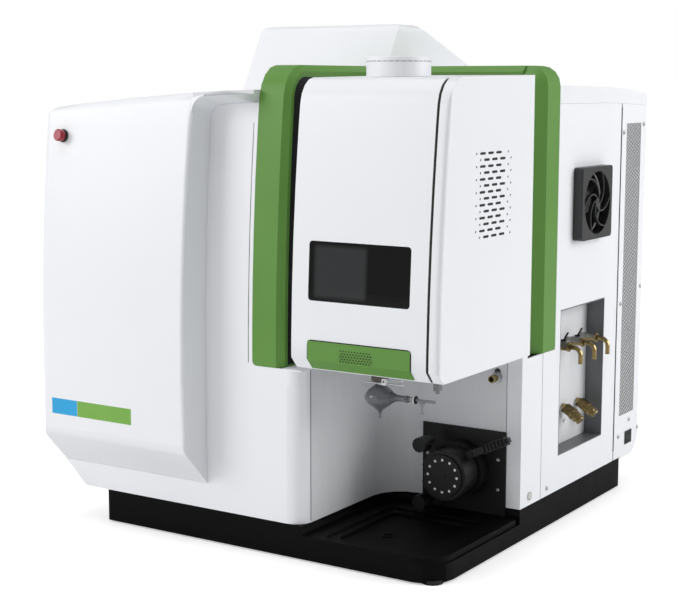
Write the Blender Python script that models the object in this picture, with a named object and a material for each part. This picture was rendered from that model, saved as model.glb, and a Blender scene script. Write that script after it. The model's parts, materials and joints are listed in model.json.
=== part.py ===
"""Bench-top inductively coupled plasma spectrometer, in metres, +Z up.

A root empty stands at the right front corner of the machine's plan. Under it x runs
from 0 at the right side to the left (negative), y from 0 at the front plane to the back,
and z is the height over the bench.
"""

import math

import bmesh
import bpy
from mathutils import Matrix, Vector

# Overall sizes of the housing
PLINTH_WIDTH = 0.658
PLINTH_DEPTH = 0.696
PLINTH_HEIGHT = 0.057
SIDE_OVERHANG = 0.094
REAR_OVERHANG = 0.084
COVER_PROUD = 0.061
FITTING_REACH = 0.024
FIT = 0.0003
WELD = 0.000002
PANEL = 0.003
OVERRUN = 0.010
SHARE_OF_HALF = 0.5

# Levels over the bench
SKIRT_TOP = 0.100
LOWER_TOP = 0.308
TORCH_BOTTOM = 0.316
TORCH_TOP = 0.762
CROWN_TOP = 0.749
BAND_RISE = 0.033
HOOD_RISE = 0.105
COLLAR_RISE = 0.032

# Sample bay and column, in plan
BAY_WIDTH = 0.249
BAY_DEPTH = 0.273
BAY_RADIUS = 0.056
BODY_RADIUS = 0.028
COLUMN_WIDTH = 0.027
COLUMN_DEPTH = 0.077
SIDE_PANEL_SHARE = 0.72093
SIDE_SEAM = 0.004

# Crown of the top, an arc across the width, and its fall at the rear
CROWN_SHIFT = 0.094
CROWN_FALL = 0.03666
LID_SKIRT = 0.0285
LID_FALL = 0.014
LID_FALL_RUN = 0.254
LID_FALL_STEPS = 4
SEAM_FALL_SHARE = 0.5
SEAM_FALL_HEIGHT = 0.020
LID_REAR_RADIUS = 0.014
CROWN_FADE_DROP = 0.299
CROWN_FADE = 0.200

# Backward lean of the front faces
LEAN_START = 0.282
LEAN_RISE = 0.480
LEAN_BACK = 0.03404
LEAN_STEP = 0.080
LEAN_STEPS = 7
LEAN_SHARE = 0.84
LEAN_FADE = 0.180
BAND_BACK = 0.333

# Optics cover
COVER_WIDTH = 0.315
COVER_BACK = 0.030
COVER_CHIN = 0.165
COVER_CHIN_RADIUS = 0.026
COVER_TOP_RADIUS = 0.018
COVER_CORNER_RADIUS = 0.028
COVER_EDGE_RADIUS = 0.020
COVER_FLANK_RADIUS = 0.007
SKIRT_TUCK = 0.046
LIP_EDGE = 0.0066
LIP_DROP = 0.0196

# Green trim band
BAND_LEFT = 0.3435
BAND_WIDTH = 0.056
BAND_DEPTH = 0.041
BAND_CHAMFER = 0.010
BAND_BEND = 0.050
BAND_FOOT_RADIUS = 0.008
REAR_BAND_DEPTH = 0.064
REAR_BAND_SEAM = 0.038
RIGHT_DEPTH = 0.034
RIGHT_BEND = 0.033
RIGHT_CHAMFER = 0.0165

# Rear hood
HOOD_RIGHT = 0.282
HOOD_WIDTH = 0.289
HOOD_FRONT = 0.292
HOOD_LEAN = 0.058
HOOD_FLAT = 0.062
HOOD_SLOPE_DROP = 0.10272
HOOD_TAIL_MARGIN = 0.080
HOOD_END_MARGIN = 0.035
HOOD_END_DROP = 0.018
HOOD_SINK = 0.110
HOOD_RADIUS = 0.020
HOOD_SIDE_RADIUS = 0.012

# Torch box, door, window and handle
TORCH_LEFT = 0.252
TORCH_PROUD = 0.023
TORCH_OVERHANG = 0.009
TORCH_REAR = 0.281
TORCH_RISE = 0.0045
TORCH_TOP_RADIUS = 0.039
TORCH_CHAMFER_DEPTH = 0.016
TORCH_CHAMFER_RISE = 0.018
TORCH_EDGE_RADIUS = 0.008
DOOR_RIGHT = 0.0125
DOOR_SEAM = 0.0045
DOOR_SPLIT = 0.008
DOOR_SPLIT_GAP = 0.0016
WINDOW_LEFT = 0.222
WINDOW_WIDTH = 0.180
WINDOW_BOTTOM = 0.425
WINDOW_HEIGHT = 0.0915
WINDOW_RADIUS = 0.004
WINDOW_SET_BACK = 0.0006
HANDLE_LEFT = 0.221
HANDLE_WIDTH = 0.182
HANDLE_TOP = 0.363
HANDLE_PROUD = 0.0015
HANDLE_SINK = 0.0018
HANDLE_RADIUS = 0.004
HINGE_INSET = 0.006
HINGE_SET_BACK = 0.009
HINGE_LOW = 0.372
HINGE_DROP = 0.057
HINGE_EYE_RADIUS = 0.0042
HINGE_PIN_RADIUS = 0.0025
HINGE_ARM_HEIGHT = 0.012
HINGE_ARM_WIDTH = 0.004
HINGE_FOOT = 0.027
HINGE_FOOT_DEPTH = 0.020
HINGE_TAB = 0.004
HINGE_TAB_REACH = 0.016
HINGE_TAB_BACK = 0.006
HINGE_TAB_SINK = 0.0006

# Cheek vent of the torch box
VENT_ROWS = 14
VENT_COLUMNS = 3
VENT_FIRST_Y = 0.0995
VENT_PITCH_Y = 0.0262
VENT_DROP = 0.1125
VENT_PITCH_Z = 0.0097
VENT_SLOT = 0.017
VENT_SLOT_HEIGHT = 0.0034
VENT_END_STEPS = 2

# Exhaust collar
COLLAR_X = 0.140
COLLAR_Y = 0.110
COLLAR_RADIUS = 0.050
COLLAR_WALL = 0.003
COLLAR_LIP = 0.0015

# Plasma torch, its mount, the work coil plates and the interface
TORCH_X = 0.147
TORCH_Y = 0.070
TORCH_TUBE_RADIUS = 0.010
TORCH_TUBE_WALL = 0.0012
TORCH_TUBE_BOTTOM = 0.405
TORCH_TUBE_LENGTH = 0.125
INJECTOR_RADIUS = 0.003
INJECTOR_DROP = 0.040
MOUNT_RADIUS = 0.024
MOUNT_NECK_RADIUS = 0.011
MOUNT_COLLAR_HEIGHT = 0.030
MOUNT_ARM_DEPTH = 0.016
MOUNT_ARM_HEIGHT = 0.040
COIL_PLATE = 0.0025
COIL_WIDTH = 0.052
COIL_GAP = 0.010
COIL_BOTTOM = 0.485
COIL_BORE = 0.0135
COIL_FRONT = 0.024
COIL_POST = 0.014
INTERFACE_Z = 0.550
INTERFACE_RADIUS = 0.032
INTERFACE_LENGTH = 0.040
INTERFACE_TIP_RADIUS = 0.010
INTERFACE_BORE = 0.004
INTERFACE_CONE = 0.030

# Spray chamber, nebulizer and clamp
CHAMBER_Z = 0.267
CHAMBER_RADIUS = 0.0245
CHAMBER_HALF_HEIGHT = 0.021
CHAMBER_NECK_RADIUS = 0.0055
CHAMBER_NECK_TOP = 0.304
CHAMBER_STEM_RADIUS = 0.0022
CHAMBER_STEM_BOTTOM = 0.232
CHAMBER_SIDES = 20
CHAMBER_ARM_RADIUS = 0.0055
CHAMBER_ARM_RISE = 0.002
CHAMBER_ARM_START = 0.016
CHAMBER_ARM_END = 0.055
NEBULIZER_RADIUS = 0.0024
NEBULIZER_LENGTH = 0.045
NEBULIZER_CAP_RADIUS = 0.0042
NEBULIZER_CAP = 0.009
NEBULIZER_TEE = 0.021
NEBULIZER_TEE_DROP = 0.022
NEBULIZER_CONE = 0.011
NEBULIZER_CONE_RADIUS = 0.0058
CLAMP_HEIGHT = 0.012
CLAMP_LEFT = 0.017
CLAMP_RIGHT = 0.049
CLAMP_WIDTH = 0.024
PROBE_X = 0.027
PROBE_Y = 0.040
PROBE_SIZE = 0.010
PROBE_DROP = 0.021
PORT_X = 0.045
PORT_Z = 0.284
PORT_RADIUS = 0.0065
PORT_BORE = 0.002
PORT_FLANGE = 0.003
PORT_FLANGE_RADIUS = 0.0095
PORT_LENGTH = 0.021
PORT_NUT_RADIUS = 0.0088
PORT_NUT_RISE = 0.009
PORT_NUT_DROP = 0.010
PORT_TAIL_RADIUS = 0.0055
PORT_TAIL_DROP = 0.023

# Drip tray and its ledge in the plinth
TRAY_LEDGE = 0.032
TRAY_RIM = 0.0425
TRAY_PROUD = 0.0015
TRAY_RIGHT = 0.003
TRAY_SIDE_BORDER = 0.038
TRAY_BACK_BORDER = 0.050
TRAY_LEFT_BORDER = 0.034
TRAY_FRONT_BORDER = 0.010
TRAY_STEP = 0.003
TRAY_INNER_BORDER = 0.016
TRAY_FLOOR = 0.0027
TRAY_POCKET_RADIUS = 0.012
DRAIN_X = 0.145
DRAIN_Y = 0.093
DRAIN_RADIUS = 0.009
DRAIN_RING = 0.0016

# Plinth and feet
PLINTH_LIFT = 0.003
PLINTH_FRONT_RADIUS = 0.047
PLINTH_RADIUS = 0.006
PLINTH_RIM = 0.045
PLINTH_DECK = 0.006
FOOT_RADIUS = 0.017
FOOT_SINK = 0.004
FOOT_INSET = 0.024

# Peristaltic pump
PLATE_LEFT = 0.183
PLATE_WIDTH = 0.157
PLATE_TOP = 0.185
PUMP_X = 0.105
PUMP_Z = 0.116
PUMP_FACE_Y = 0.198
PUMP_FLANGE_RADIUS = 0.047
PUMP_FLANGE_DEPTH = 0.024
PUMP_BODY_RADIUS = 0.041
PUMP_BODY_FRONT = 0.222
ROTOR_RADIUS = 0.035
ROTOR_DISC = 0.006
ROTOR_HUB_RADIUS = 0.006
ROLLER_COUNT = 12
ROLLER_CIRCLE = 0.027
ROLLER_RADIUS = 0.0026
ROLLER_PROUD = 0.0008
ROLLER_SIDES = 6
ROLLER_END_GAP = 0.0026
HEAD_OUTER_RADIUS = 0.042
HEAD_WALL = 0.0065
HEAD_OPENING_SHARE = 0.30
SHAFT_RADIUS = 0.005
KNOB_X = 0.150
KNOB_UPPER_Z = 0.162
KNOB_LOWER_Z = 0.064
KNOB_RADIUS = 0.0125
KNOB_DEPTH = 0.014
KNOB_GAP = 0.002
KNOB_SCALLOPS = 24
KNOB_SCALLOP = 0.0005
KNOB_STEM_RADIUS = 0.004
KNOB_EAR_RADIUS = 0.0095
KNOB_WEB_WIDTH = 0.0125
LEVER_X = 0.069
LEVER_Z = 0.151
LEVER_Y = 0.228
LEVER_LENGTH = 0.078
LEVER_ANGLE = 0.45
LEVER_HEIGHT = 0.012
LEVER_DEPTH = 0.014
LEVER_TIP_HEIGHT = 0.008
LEVER_BLADE_DEPTH = 0.0093
LEVER_RIBS = 7
LEVER_RIB = 0.0022
LEVER_RIB_PITCH = 0.0071
LEVER_EYE_RADIUS = 0.007
LEVER_PIN_RADIUS = 0.0035
MOTOR_RADIUS = 0.030
MOTOR_LENGTH = 0.060
MOTOR_END_RADIUS = 0.010
MOTOR_END = 0.005

# Fan on the side panel
FAN_DEPTH_SHARE = 0.54839
FAN_LEVEL_SHARE = 0.73298
FAN_SIZE = 0.125
FAN_PROUD = 0.018
FAN_CORNER = 0.006
FAN_BORE_RADIUS = 0.0545
FAN_BODY = 0.025
FAN_HUB_RADIUS = 0.019
FAN_BLADES = 7
FAN_BLADE = 0.0016
FAN_BLADE_PITCH = 0.55
FAN_TIP_GAP = 0.002
FAN_SHAFT_RADIUS = 0.003
FAN_SPIDER = 0.005
GUARD_DEPTH = 0.006
GUARD_VANE = 0.0026
GUARD_VANES = 6
GUARD_HUB_RADIUS = 0.008
GUARD_SWEEP = 2.3
GUARD_STEPS = 9

# Service recess and its fittings
RECESS_START_SHARE = 0.21613
RECESS_LENGTH_SHARE = 0.60323
RECESS_BOTTOM = 0.118
RECESS_HEIGHT = 0.254
RECESS_DEPTH = 0.033
RECESS_WALL = 0.0015
ELBOW_START_SHARE = 0.2246
ELBOW_PITCH_SHARE = 0.31283
ELBOW_Z = 0.302
ELBOW_COUNT = 3
VALVE_LEVER_COUNT = 2
HEX_SIDES = 6
ELBOW_NUT_RADIUS = 0.0085
ELBOW_NUT = 0.011
ELBOW_BODY_RADIUS = 0.0068
ELBOW_BODY = 0.019
ELBOW_TUBE_RADIUS = 0.0042
ELBOW_BEND = 0.013
ELBOW_DROP = 0.0145
VALVE_BLOCK = 0.018
VALVE_BLOCK_RISE = 0.010
VALVE_LEVER_LENGTH = 0.017
VALVE_LEVER = 0.002
VALVE_LEVER_WIDTH = 0.005
VALVE_LEVER_TILT = 0.50
PUSH_START_SHARE = 0.47059
PUSH_PITCH_SHARE = 0.3262
PUSH_Z = 0.183
PUSH_COUNT = 2
PUSH_ANGLE = 0.60
PUSH_RADIUS = 0.0095
PUSH_LENGTH = 0.034
PUSH_COLLET = 0.007
PUSH_COLLET_RADIUS = 0.0075
PUSH_BASE_RADIUS = 0.008
PUSH_BASE = 0.008
PUSH_BASE_LAP = 0.002
PUSH_BORE_RADIUS = 0.0038
MANIFOLD_DEPTH = 0.022
MANIFOLD_HEIGHT = 0.030

# Rear side panel
REAR_VENT_START_SHARE = 0.18966
REAR_VENT_WIDTH_SHARE = 0.59483
REAR_VENT_BOTTOM = 0.137
REAR_VENT_MARGIN = 0.0392
MESH_PLATE = 0.0015
REAR_LIFT = 0.0545
REAR_RADIUS = 0.038
FLOOR_LAP = 0.007
SWITCH_START_SHARE = 0.4569
SWITCH_Z = 0.079
SWITCH_WIDTH = 0.028
SWITCH_HEIGHT = 0.022
SWITCH_RIM = 0.003
SWITCH_EDGE = 0.0008
SWITCH_PROUD = 0.0015
SWITCH_DEPTH = 0.014
ROCKER_TILT = 0.20

# Rear inlet
INLET_X = 0.110
INLET_Z = 0.120
INLET_WIDTH = 0.048
INLET_HEIGHT = 0.028
INLET_FLANGE = 0.010
INLET_FACE = 0.003
INLET_DEPTH = 0.024
INLET_WALL = 0.004
INLET_CLEARANCE = 0.005
INLET_PIN = 0.002
INLET_PIN_HEIGHT = 0.006
INLET_PIN_PITCH = 0.014

# Emergency button, column lock
BUTTON_X = 0.705
BUTTON_DROP = 0.0825
BUTTON_RADIUS = 0.010
BUTTON_HEIGHT = 0.009
BUTTON_TRAVEL = 0.004
BUTTON_BEZEL_RADIUS = 0.0112
BUTTON_BEZEL = 0.0015
BUTTON_STEM_RADIUS = 0.005
BUTTON_STEM = 0.016
LOCK_Y = 0.307
LOCK_Z = 0.073
LOCK_RADIUS = 0.0075
LOCK_PROUD = 0.0012
LOCK_BARREL_RADIUS = 0.0055
LOCK_BARREL = 0.012
LOCK_SLOT = 0.0014
LOCK_SLOT_DEPTH = 0.0008

# Units inside
OPTICS_LEFT = 0.6635
OPTICS_RIGHT = 0.352
OPTICS_FRONT = 0.066
OPTICS_DEPTH = 0.370
OPTICS_HEADROOM = 0.229
OPTICS_FLANGE = 0.014
OPTICS_FLANGE_HEIGHT = 0.012
OPTICS_FLANGE_DROP = 0.036
UNIT_LEFT = 0.250
UNIT_RIGHT = 0.062
UNIT_FRONT = 0.362
UNIT_BACK_MARGIN = 0.148
UNIT_STEP = 0.020
SUPPLY_HEIGHT = 0.230
UNIT_HEADROOM = 0.219
FIN_COUNT = 9
FIN_HEIGHT = 0.016
FIN_SHARE = 0.45

# Facets of round shapes
ROUND = 32
SMALL_ROUND = 12
FILLET_STEP = 0.40
SHARP_ANGLE = 0.6
CROWN_STEPS = 8
BEND_STEPS = 6

# Places that follow from the sizes
LEFT_X = -(PLINTH_WIDTH + SIDE_OVERHANG)
REAR_Y = PLINTH_DEPTH + REAR_OVERHANG
BODY_BOTTOM = PLINTH_HEIGHT + FIT
ORIGIN_X = (FITTING_REACH - LEFT_X) / 2 - FITTING_REACH
ORIGIN_Y = -(REAR_Y + FIT + INLET_FACE - COVER_PROUD) / 2
BAY_X = -BAY_WIDTH
COVER_RIGHT_X = LEFT_X + COVER_WIDTH
BAND_X = -BAND_LEFT
BAND_RIGHT_X = BAND_X + BAND_WIDTH
REAR_BAND_BACK = BAND_BACK + REAR_BAND_DEPTH
BAND_TOP = CROWN_TOP + BAND_RISE
HOOD_TOP = CROWN_TOP + HOOD_RISE
HOOD_TAIL = REAR_Y - HOOD_TAIL_MARGIN
HOOD_END = REAR_Y - HOOD_END_MARGIN
LID_FALL_START = REAR_Y - LID_FALL_RUN
CROWN_FADE_START = CROWN_TOP - CROWN_FADE_DROP
COLUMN_BACK = BAY_DEPTH + COLUMN_DEPTH
SIDE_PANEL_DEPTH = (REAR_Y - COLUMN_BACK) * SIDE_PANEL_SHARE
SIDE_BACK = COLUMN_BACK + SIDE_PANEL_DEPTH
REAR_PANEL_FRONT = SIDE_BACK + SIDE_SEAM
REAR_PANEL_DEPTH = REAR_Y - REAR_PANEL_FRONT
SKIRT_SEAM = CROWN_TOP - LID_SKIRT - FIT
FAN_Y = COLUMN_BACK + SIDE_PANEL_DEPTH * FAN_DEPTH_SHARE
FAN_Z = CROWN_TOP * FAN_LEVEL_SHARE
RECESS_FRONT = COLUMN_BACK + SIDE_PANEL_DEPTH * RECESS_START_SHARE
RECESS_LENGTH = SIDE_PANEL_DEPTH * RECESS_LENGTH_SHARE
ELBOW_Y = RECESS_FRONT + RECESS_LENGTH * ELBOW_START_SHARE
ELBOW_PITCH = RECESS_LENGTH * ELBOW_PITCH_SHARE
PUSH_Y = RECESS_FRONT + RECESS_LENGTH * PUSH_START_SHARE
PUSH_PITCH = RECESS_LENGTH * PUSH_PITCH_SHARE
REAR_VENT_FRONT = REAR_PANEL_FRONT + REAR_PANEL_DEPTH * REAR_VENT_START_SHARE
REAR_VENT_WIDTH = REAR_PANEL_DEPTH * REAR_VENT_WIDTH_SHARE
REAR_VENT_HEIGHT = SKIRT_SEAM - REAR_VENT_MARGIN - REAR_VENT_BOTTOM
SWITCH_Y = REAR_PANEL_FRONT + REAR_PANEL_DEPTH * SWITCH_START_SHARE
COLLAR_TOP = TORCH_TOP + COLLAR_RISE
HINGE_HIGH = TORCH_TOP - HINGE_DROP
VENT_TOP = TORCH_TOP - VENT_DROP
BUTTON_Z = CROWN_TOP - BUTTON_DROP
UNIT_DEPTH = REAR_Y - UNIT_FRONT - UNIT_BACK_MARGIN
GENERATOR_HEIGHT = CROWN_TOP - SUPPLY_HEIGHT - UNIT_HEADROOM
OPTICS_HEIGHT = CROWN_TOP - OPTICS_HEADROOM
TORCH_LEFT_X = -TORCH_LEFT
HINGE_X = TORCH_LEFT_X + HINGE_INSET
VENT_RIGHT_X = TORCH_OVERHANG

COLOURS = {
    "white": ("E4E6E9", 0.42, 0.0),
    "bay_grey": ("CFD1D4", 0.45, 0.0),
    "green": ("62963F", 0.40, 0.0),
    "black": ("161718", 0.42, 0.0),
    "rubber": ("101010", 0.80, 0.0),
    "dark_grey": ("3A3B3D", 0.50, 0.0),
    "grey": ("77797B", 0.50, 0.3),
    "steel": ("B4B7BA", 0.28, 1.0),
    "aluminium": ("C3C5C8", 0.35, 1.0),
    "brass": ("A8803A", 0.28, 1.0),
    "smoked_glass": ("17191B", 0.08, 0.0),
    "glass": ("8F9498", 0.06, 0.0),
    "quartz": ("DDE6EA", 0.05, 0.0),
    "red": ("A81E30", 0.30, 0.0),
    "roller_white": ("DADBDC", 0.35, 0.0),
}


# Scene, materials and objects


def clear_scene():
    for item in list(bpy.data.objects):
        bpy.data.objects.remove(item, do_unlink=True)


def linear(channel):
    if channel <= 0.04045:
        return channel / 12.92
    return ((channel + 0.055) / 1.055) ** 2.4


def material(name):
    made = bpy.data.materials.get(name)
    if made:
        return made
    code, roughness, metallic = COLOURS[name]
    made = bpy.data.materials.new(name)
    made.use_nodes = True
    shader = made.node_tree.nodes["Principled BSDF"]
    channels = [linear(int(code[i : i + 2], 16) / 255) for i in (0, 2, 4)]
    shader.inputs["Base Color"].default_value = (*channels, 1)
    shader.inputs["Roughness"].default_value = roughness
    shader.inputs["Metallic"].default_value = metallic
    made.diffuse_color = (*channels, 1)
    return made


def place(name, shape, finish, at=(0, 0, 0), turn=None):
    """Make the named object of a bmesh, whose points are measured from the place given."""
    bmesh.ops.recalc_face_normals(shape, faces=shape.faces)
    mesh = bpy.data.meshes.new(name)
    shape.to_mesh(mesh)
    shape.free()
    mesh.shade_smooth()
    mesh.set_sharp_from_angle(angle=SHARP_ANGLE)
    mesh.materials.append(material(finish))
    item = bpy.data.objects.new(name, mesh)
    bpy.context.scene.collection.objects.link(item)
    item.parent = bpy.data.objects["machine"]
    item.location = at
    if turn:
        item.rotation_euler = turn
    return item


# Outlines


def arc_points(centre, radius, start, end, steps):
    angles = [start + (end - start) * i / steps for i in range(steps + 1)]
    return [(centre[0] + radius * math.cos(a), centre[1] + radius * math.sin(a)) for a in angles]


def circle(centre, radius, sides=ROUND):
    return arc_points(centre, radius, 0, 2 * math.pi, sides)[:-1]


def rounded(corners):
    """Outline of (a, b, radius) corners, each with a fillet of its radius."""
    outline = []
    count = len(corners)
    for i, (a, b, radius) in enumerate(corners):
        corner = Vector((a, b))
        if not radius:
            outline.append((a, b))
            continue
        before = (Vector(corners[i - 1][:2]) - corner).normalized()
        after = (Vector(corners[(i + 1) % count][:2]) - corner).normalized()
        half = before.angle(after) / 2
        centre = corner + (before + after).normalized() * (radius / math.sin(half))
        first = corner + before * (radius / math.tan(half)) - centre
        last = corner + after * (radius / math.tan(half)) - centre
        turn = math.atan2(first.x * last.y - first.y * last.x, first.dot(last))
        steps = max(2, math.ceil(abs(turn) / FILLET_STEP))
        begin = math.atan2(first.y, first.x)
        outline += arc_points(centre, radius, begin, begin + turn, steps)
    return outline


def rectangle(a, b, width, height, radius=0):
    return rounded(
        [(a, b, radius), (a + width, b, radius), (a + width, b + height, radius), (a, b + height, radius)]
    )


# Solids


def point_on(axis, a, b, c):
    return {"X": (c, a, b), "Y": (a, c, b), "Z": (a, b, c)}[axis]


def prism(axis, outline, low, high):
    """Closed solid of an outline drawn across an axis, between two places along it."""
    shape = bmesh.new()
    base = shape.faces.new([shape.verts.new(point_on(axis, a, b, low)) for a, b in outline])
    grown = bmesh.ops.extrude_face_region(shape, geom=[base])["geom"]
    move = Vector(point_on(axis, 0, 0, high - low))
    bmesh.ops.translate(shape, vec=move, verts=[g for g in grown if isinstance(g, bmesh.types.BMVert)])
    bmesh.ops.recalc_face_normals(shape, faces=shape.faces)
    return shape


def box(low, high):
    outline = [(low[0], low[1]), (high[0], low[1]), (high[0], high[1]), (low[0], high[1])]
    return prism("Z", outline, low[2], high[2])


def rod(axis, centre, radius, low, high, sides=ROUND):
    return prism(axis, circle(centre, radius, sides), low, high)


def turned(profile, sides=ROUND):
    """Solid of a closed (radius, height) profile turned round Z."""
    shape = bmesh.new()
    points = [shape.verts.new((radius, 0, height)) for radius, height in profile]
    edges = [shape.edges.new((points[i], points[(i + 1) % len(points)])) for i in range(len(points))]
    bmesh.ops.spin(
        shape,
        geom=points + edges,
        axis=(0, 0, 1),
        cent=(0, 0, 0),
        angle=2 * math.pi,
        steps=sides,
        use_merge=True,
        use_duplicate=False,
    )
    bmesh.ops.remove_doubles(shape, verts=shape.verts, dist=WELD)
    on_axis = [e for e in shape.edges if not e.link_faces]
    bmesh.ops.delete(shape, geom=on_axis, context="EDGES")
    bmesh.ops.recalc_face_normals(shape, faces=shape.faces)
    return shape


def moved(shape, by=(0, 0, 0), turn=None):
    if turn:
        for angle, axis in zip(turn, "XYZ"):
            spin = Matrix.Rotation(angle, 3, axis)
            bmesh.ops.rotate(shape, cent=(0, 0, 0), matrix=spin, verts=shape.verts)
    bmesh.ops.translate(shape, vec=by, verts=shape.verts)
    return shape


def tube(points, radius, sides_share=2):
    """Round tube along points that a smooth curve has passed through."""
    curve = bpy.data.curves.new("path", "CURVE")
    curve.dimensions = "3D"
    curve.bevel_depth = radius
    curve.bevel_resolution = sides_share
    curve.use_fill_caps = True
    spline = curve.splines.new("POLY")
    spline.points.add(len(points) - 1)
    for knot, point in zip(spline.points, points):
        knot.co = (*point, 1)
    item = bpy.data.objects.new("path", curve)
    bpy.context.scene.collection.objects.link(item)
    return taken(item)


def taken(item):
    """The evaluated mesh of an object as a bmesh; the object goes."""
    bpy.context.view_layer.update()
    seen = item.evaluated_get(bpy.context.evaluated_depsgraph_get())
    shape = bmesh.new()
    shape.from_mesh(seen.to_mesh())
    seen.to_mesh_clear()
    data = item.data
    bpy.data.objects.remove(item, do_unlink=True)
    if isinstance(data, bpy.types.Mesh):
        bpy.data.meshes.remove(data)
    else:
        bpy.data.curves.remove(data)
    bmesh.ops.remove_doubles(shape, verts=shape.verts, dist=WELD)
    bmesh.ops.recalc_face_normals(shape, faces=shape.faces)
    return shape


def held(name, shape):
    mesh = bpy.data.meshes.new(name)
    shape.to_mesh(mesh)
    shape.free()
    item = bpy.data.objects.new(name, mesh)
    bpy.context.scene.collection.objects.link(item)
    return item


def combined(base, tools, operation):
    """The base after each tool is cut away, joined on or kept in common, by Boolean modifiers."""
    item = held("base", base)
    helpers = []
    for tool in tools:
        helper = held("tool", tool)
        helper.hide_render = True
        helper.display_type = "WIRE"
        helpers.append(helper)
        change = item.modifiers.new("change", "BOOLEAN")
        change.operation = operation
        change.solver = "EXACT"
        change.object = helper
    shape = taken(item)
    for helper in helpers:
        data = helper.data
        bpy.data.objects.remove(helper, do_unlink=True)
        bpy.data.meshes.remove(data)
    return shape


def cut(base, *tools):
    return combined(base, tools, "DIFFERENCE")


def fuse(base, *tools):
    return combined(base, tools, "UNION")


def common(base, *tools):
    return combined(base, tools, "INTERSECT")


def gathered(shapes):
    """Several solids that don't meet, as one tool."""
    whole = bmesh.new()
    for shape in shapes:
        mesh = bpy.data.meshes.new("part")
        shape.to_mesh(mesh)
        shape.free()
        whole.from_mesh(mesh)
        bpy.data.meshes.remove(mesh)
    return whole


def lean_at(level):
    """Backward shift of the front plane at a level, straight between the lean's steps."""
    step = (level - LEAN_START) / LEAN_STEP
    if step <= 0:
        return 0
    low = math.floor(step)
    ends = [LEAN_BACK * ((low + i) * LEAN_STEP / LEAN_RISE) ** 2 for i in (0, 1)]
    return ends[0] + (ends[1] - ends[0]) * (step - low)


def leaned_y(y, level):
    """Depth of a place after the lean, which fades out towards the rear."""
    return y + lean_at(level) * max(0, LEAN_SHARE - y / LEAN_FADE)


def leaned(shape):
    """Lean a shape back above the start of the lean."""
    sliced(shape, [LEAN_START + LEAN_STEP * i for i in range(LEAN_STEPS)], (0, 0, 1))
    for vert in shape.verts:
        vert.co.y = leaned_y(vert.co.y, vert.co.z)
    return shape


def crown_drop(x):
    """Fall of the crown's arc at a place across the width, straight between shared steps."""
    pitch = LEFT_X / CROWN_STEPS
    low = math.floor(x / pitch)
    reach = LEFT_X + CROWN_SHIFT
    ends = [CROWN_FALL * ((pitch * (low + i) + CROWN_SHIFT) / reach) ** 2 for i in (0, 1)]
    return ends[0] + (ends[1] - ends[0]) * (x / pitch - low)


def rear_fall(y):
    return LID_FALL * (max(0, y - LID_FALL_START) / (REAR_Y - LID_FALL_START)) ** 2


def sliced(shape, places, normal):
    """Cut a shape's faces by planes across one direction, so that it can be bent there."""
    for level in places:
        bmesh.ops.bisect_plane(
            shape,
            geom=shape.verts[:] + shape.edges[:] + shape.faces[:],
            plane_co=Vector(normal) * level,
            plane_no=normal,
            dist=WELD,
        )
    return shape


def crowned(shape):
    """Bend the upper part of a shape, drawn with a flat top, down to the crown's arc."""
    pitch = LEFT_X / CROWN_STEPS
    sliced(shape, [pitch * i for i in range(CROWN_STEPS + 1)], (1, 0, 0))
    for vert in shape.verts:
        share = min(1, max(0, (vert.co.z - CROWN_FADE_START) / CROWN_FADE))
        vert.co.z -= crown_drop(vert.co.x) * share
    return shape


def fall_share(level):
    """Share of the rear fall at a height: whole at the top, part at the lid's seam, none below."""
    seam = CROWN_TOP - LID_SKIRT
    if level > seam:
        rise = (level - seam) / (CROWN_TOP - PANEL - seam)
        return min(1, SEAM_FALL_SHARE + (1 - SEAM_FALL_SHARE) * rise)
    return SEAM_FALL_SHARE * max(0, 1 - (seam - level) / SEAM_FALL_HEIGHT)


def fallen(shape):
    """Let the top of a shape, drawn level, fall towards the rear."""
    pitch = (REAR_Y - LID_FALL_START) / LID_FALL_STEPS
    sliced(shape, [LID_FALL_START + pitch * i for i in range(LID_FALL_STEPS + 1)], (0, 1, 0))
    for vert in shape.verts:
        vert.co.z -= rear_fall(vert.co.y) * fall_share(vert.co.z)
    return shape


# Plinth, feet and drip tray


def tray_outline(inset=0):
    """Plan of the drip tray."""
    right = -TRAY_RIGHT - inset
    left = BAY_X + FIT + inset
    back = BAY_DEPTH - PANEL - 2 * FIT - inset
    front = -TRAY_PROUD + inset
    return rounded(
        [
            (left, front, 0),
            (right, front, PLINTH_FRONT_RADIUS - TRAY_RIGHT - inset),
            (right, back, PLINTH_RADIUS),
            (left, back, BAY_RADIUS - inset),
        ]
    )


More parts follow.
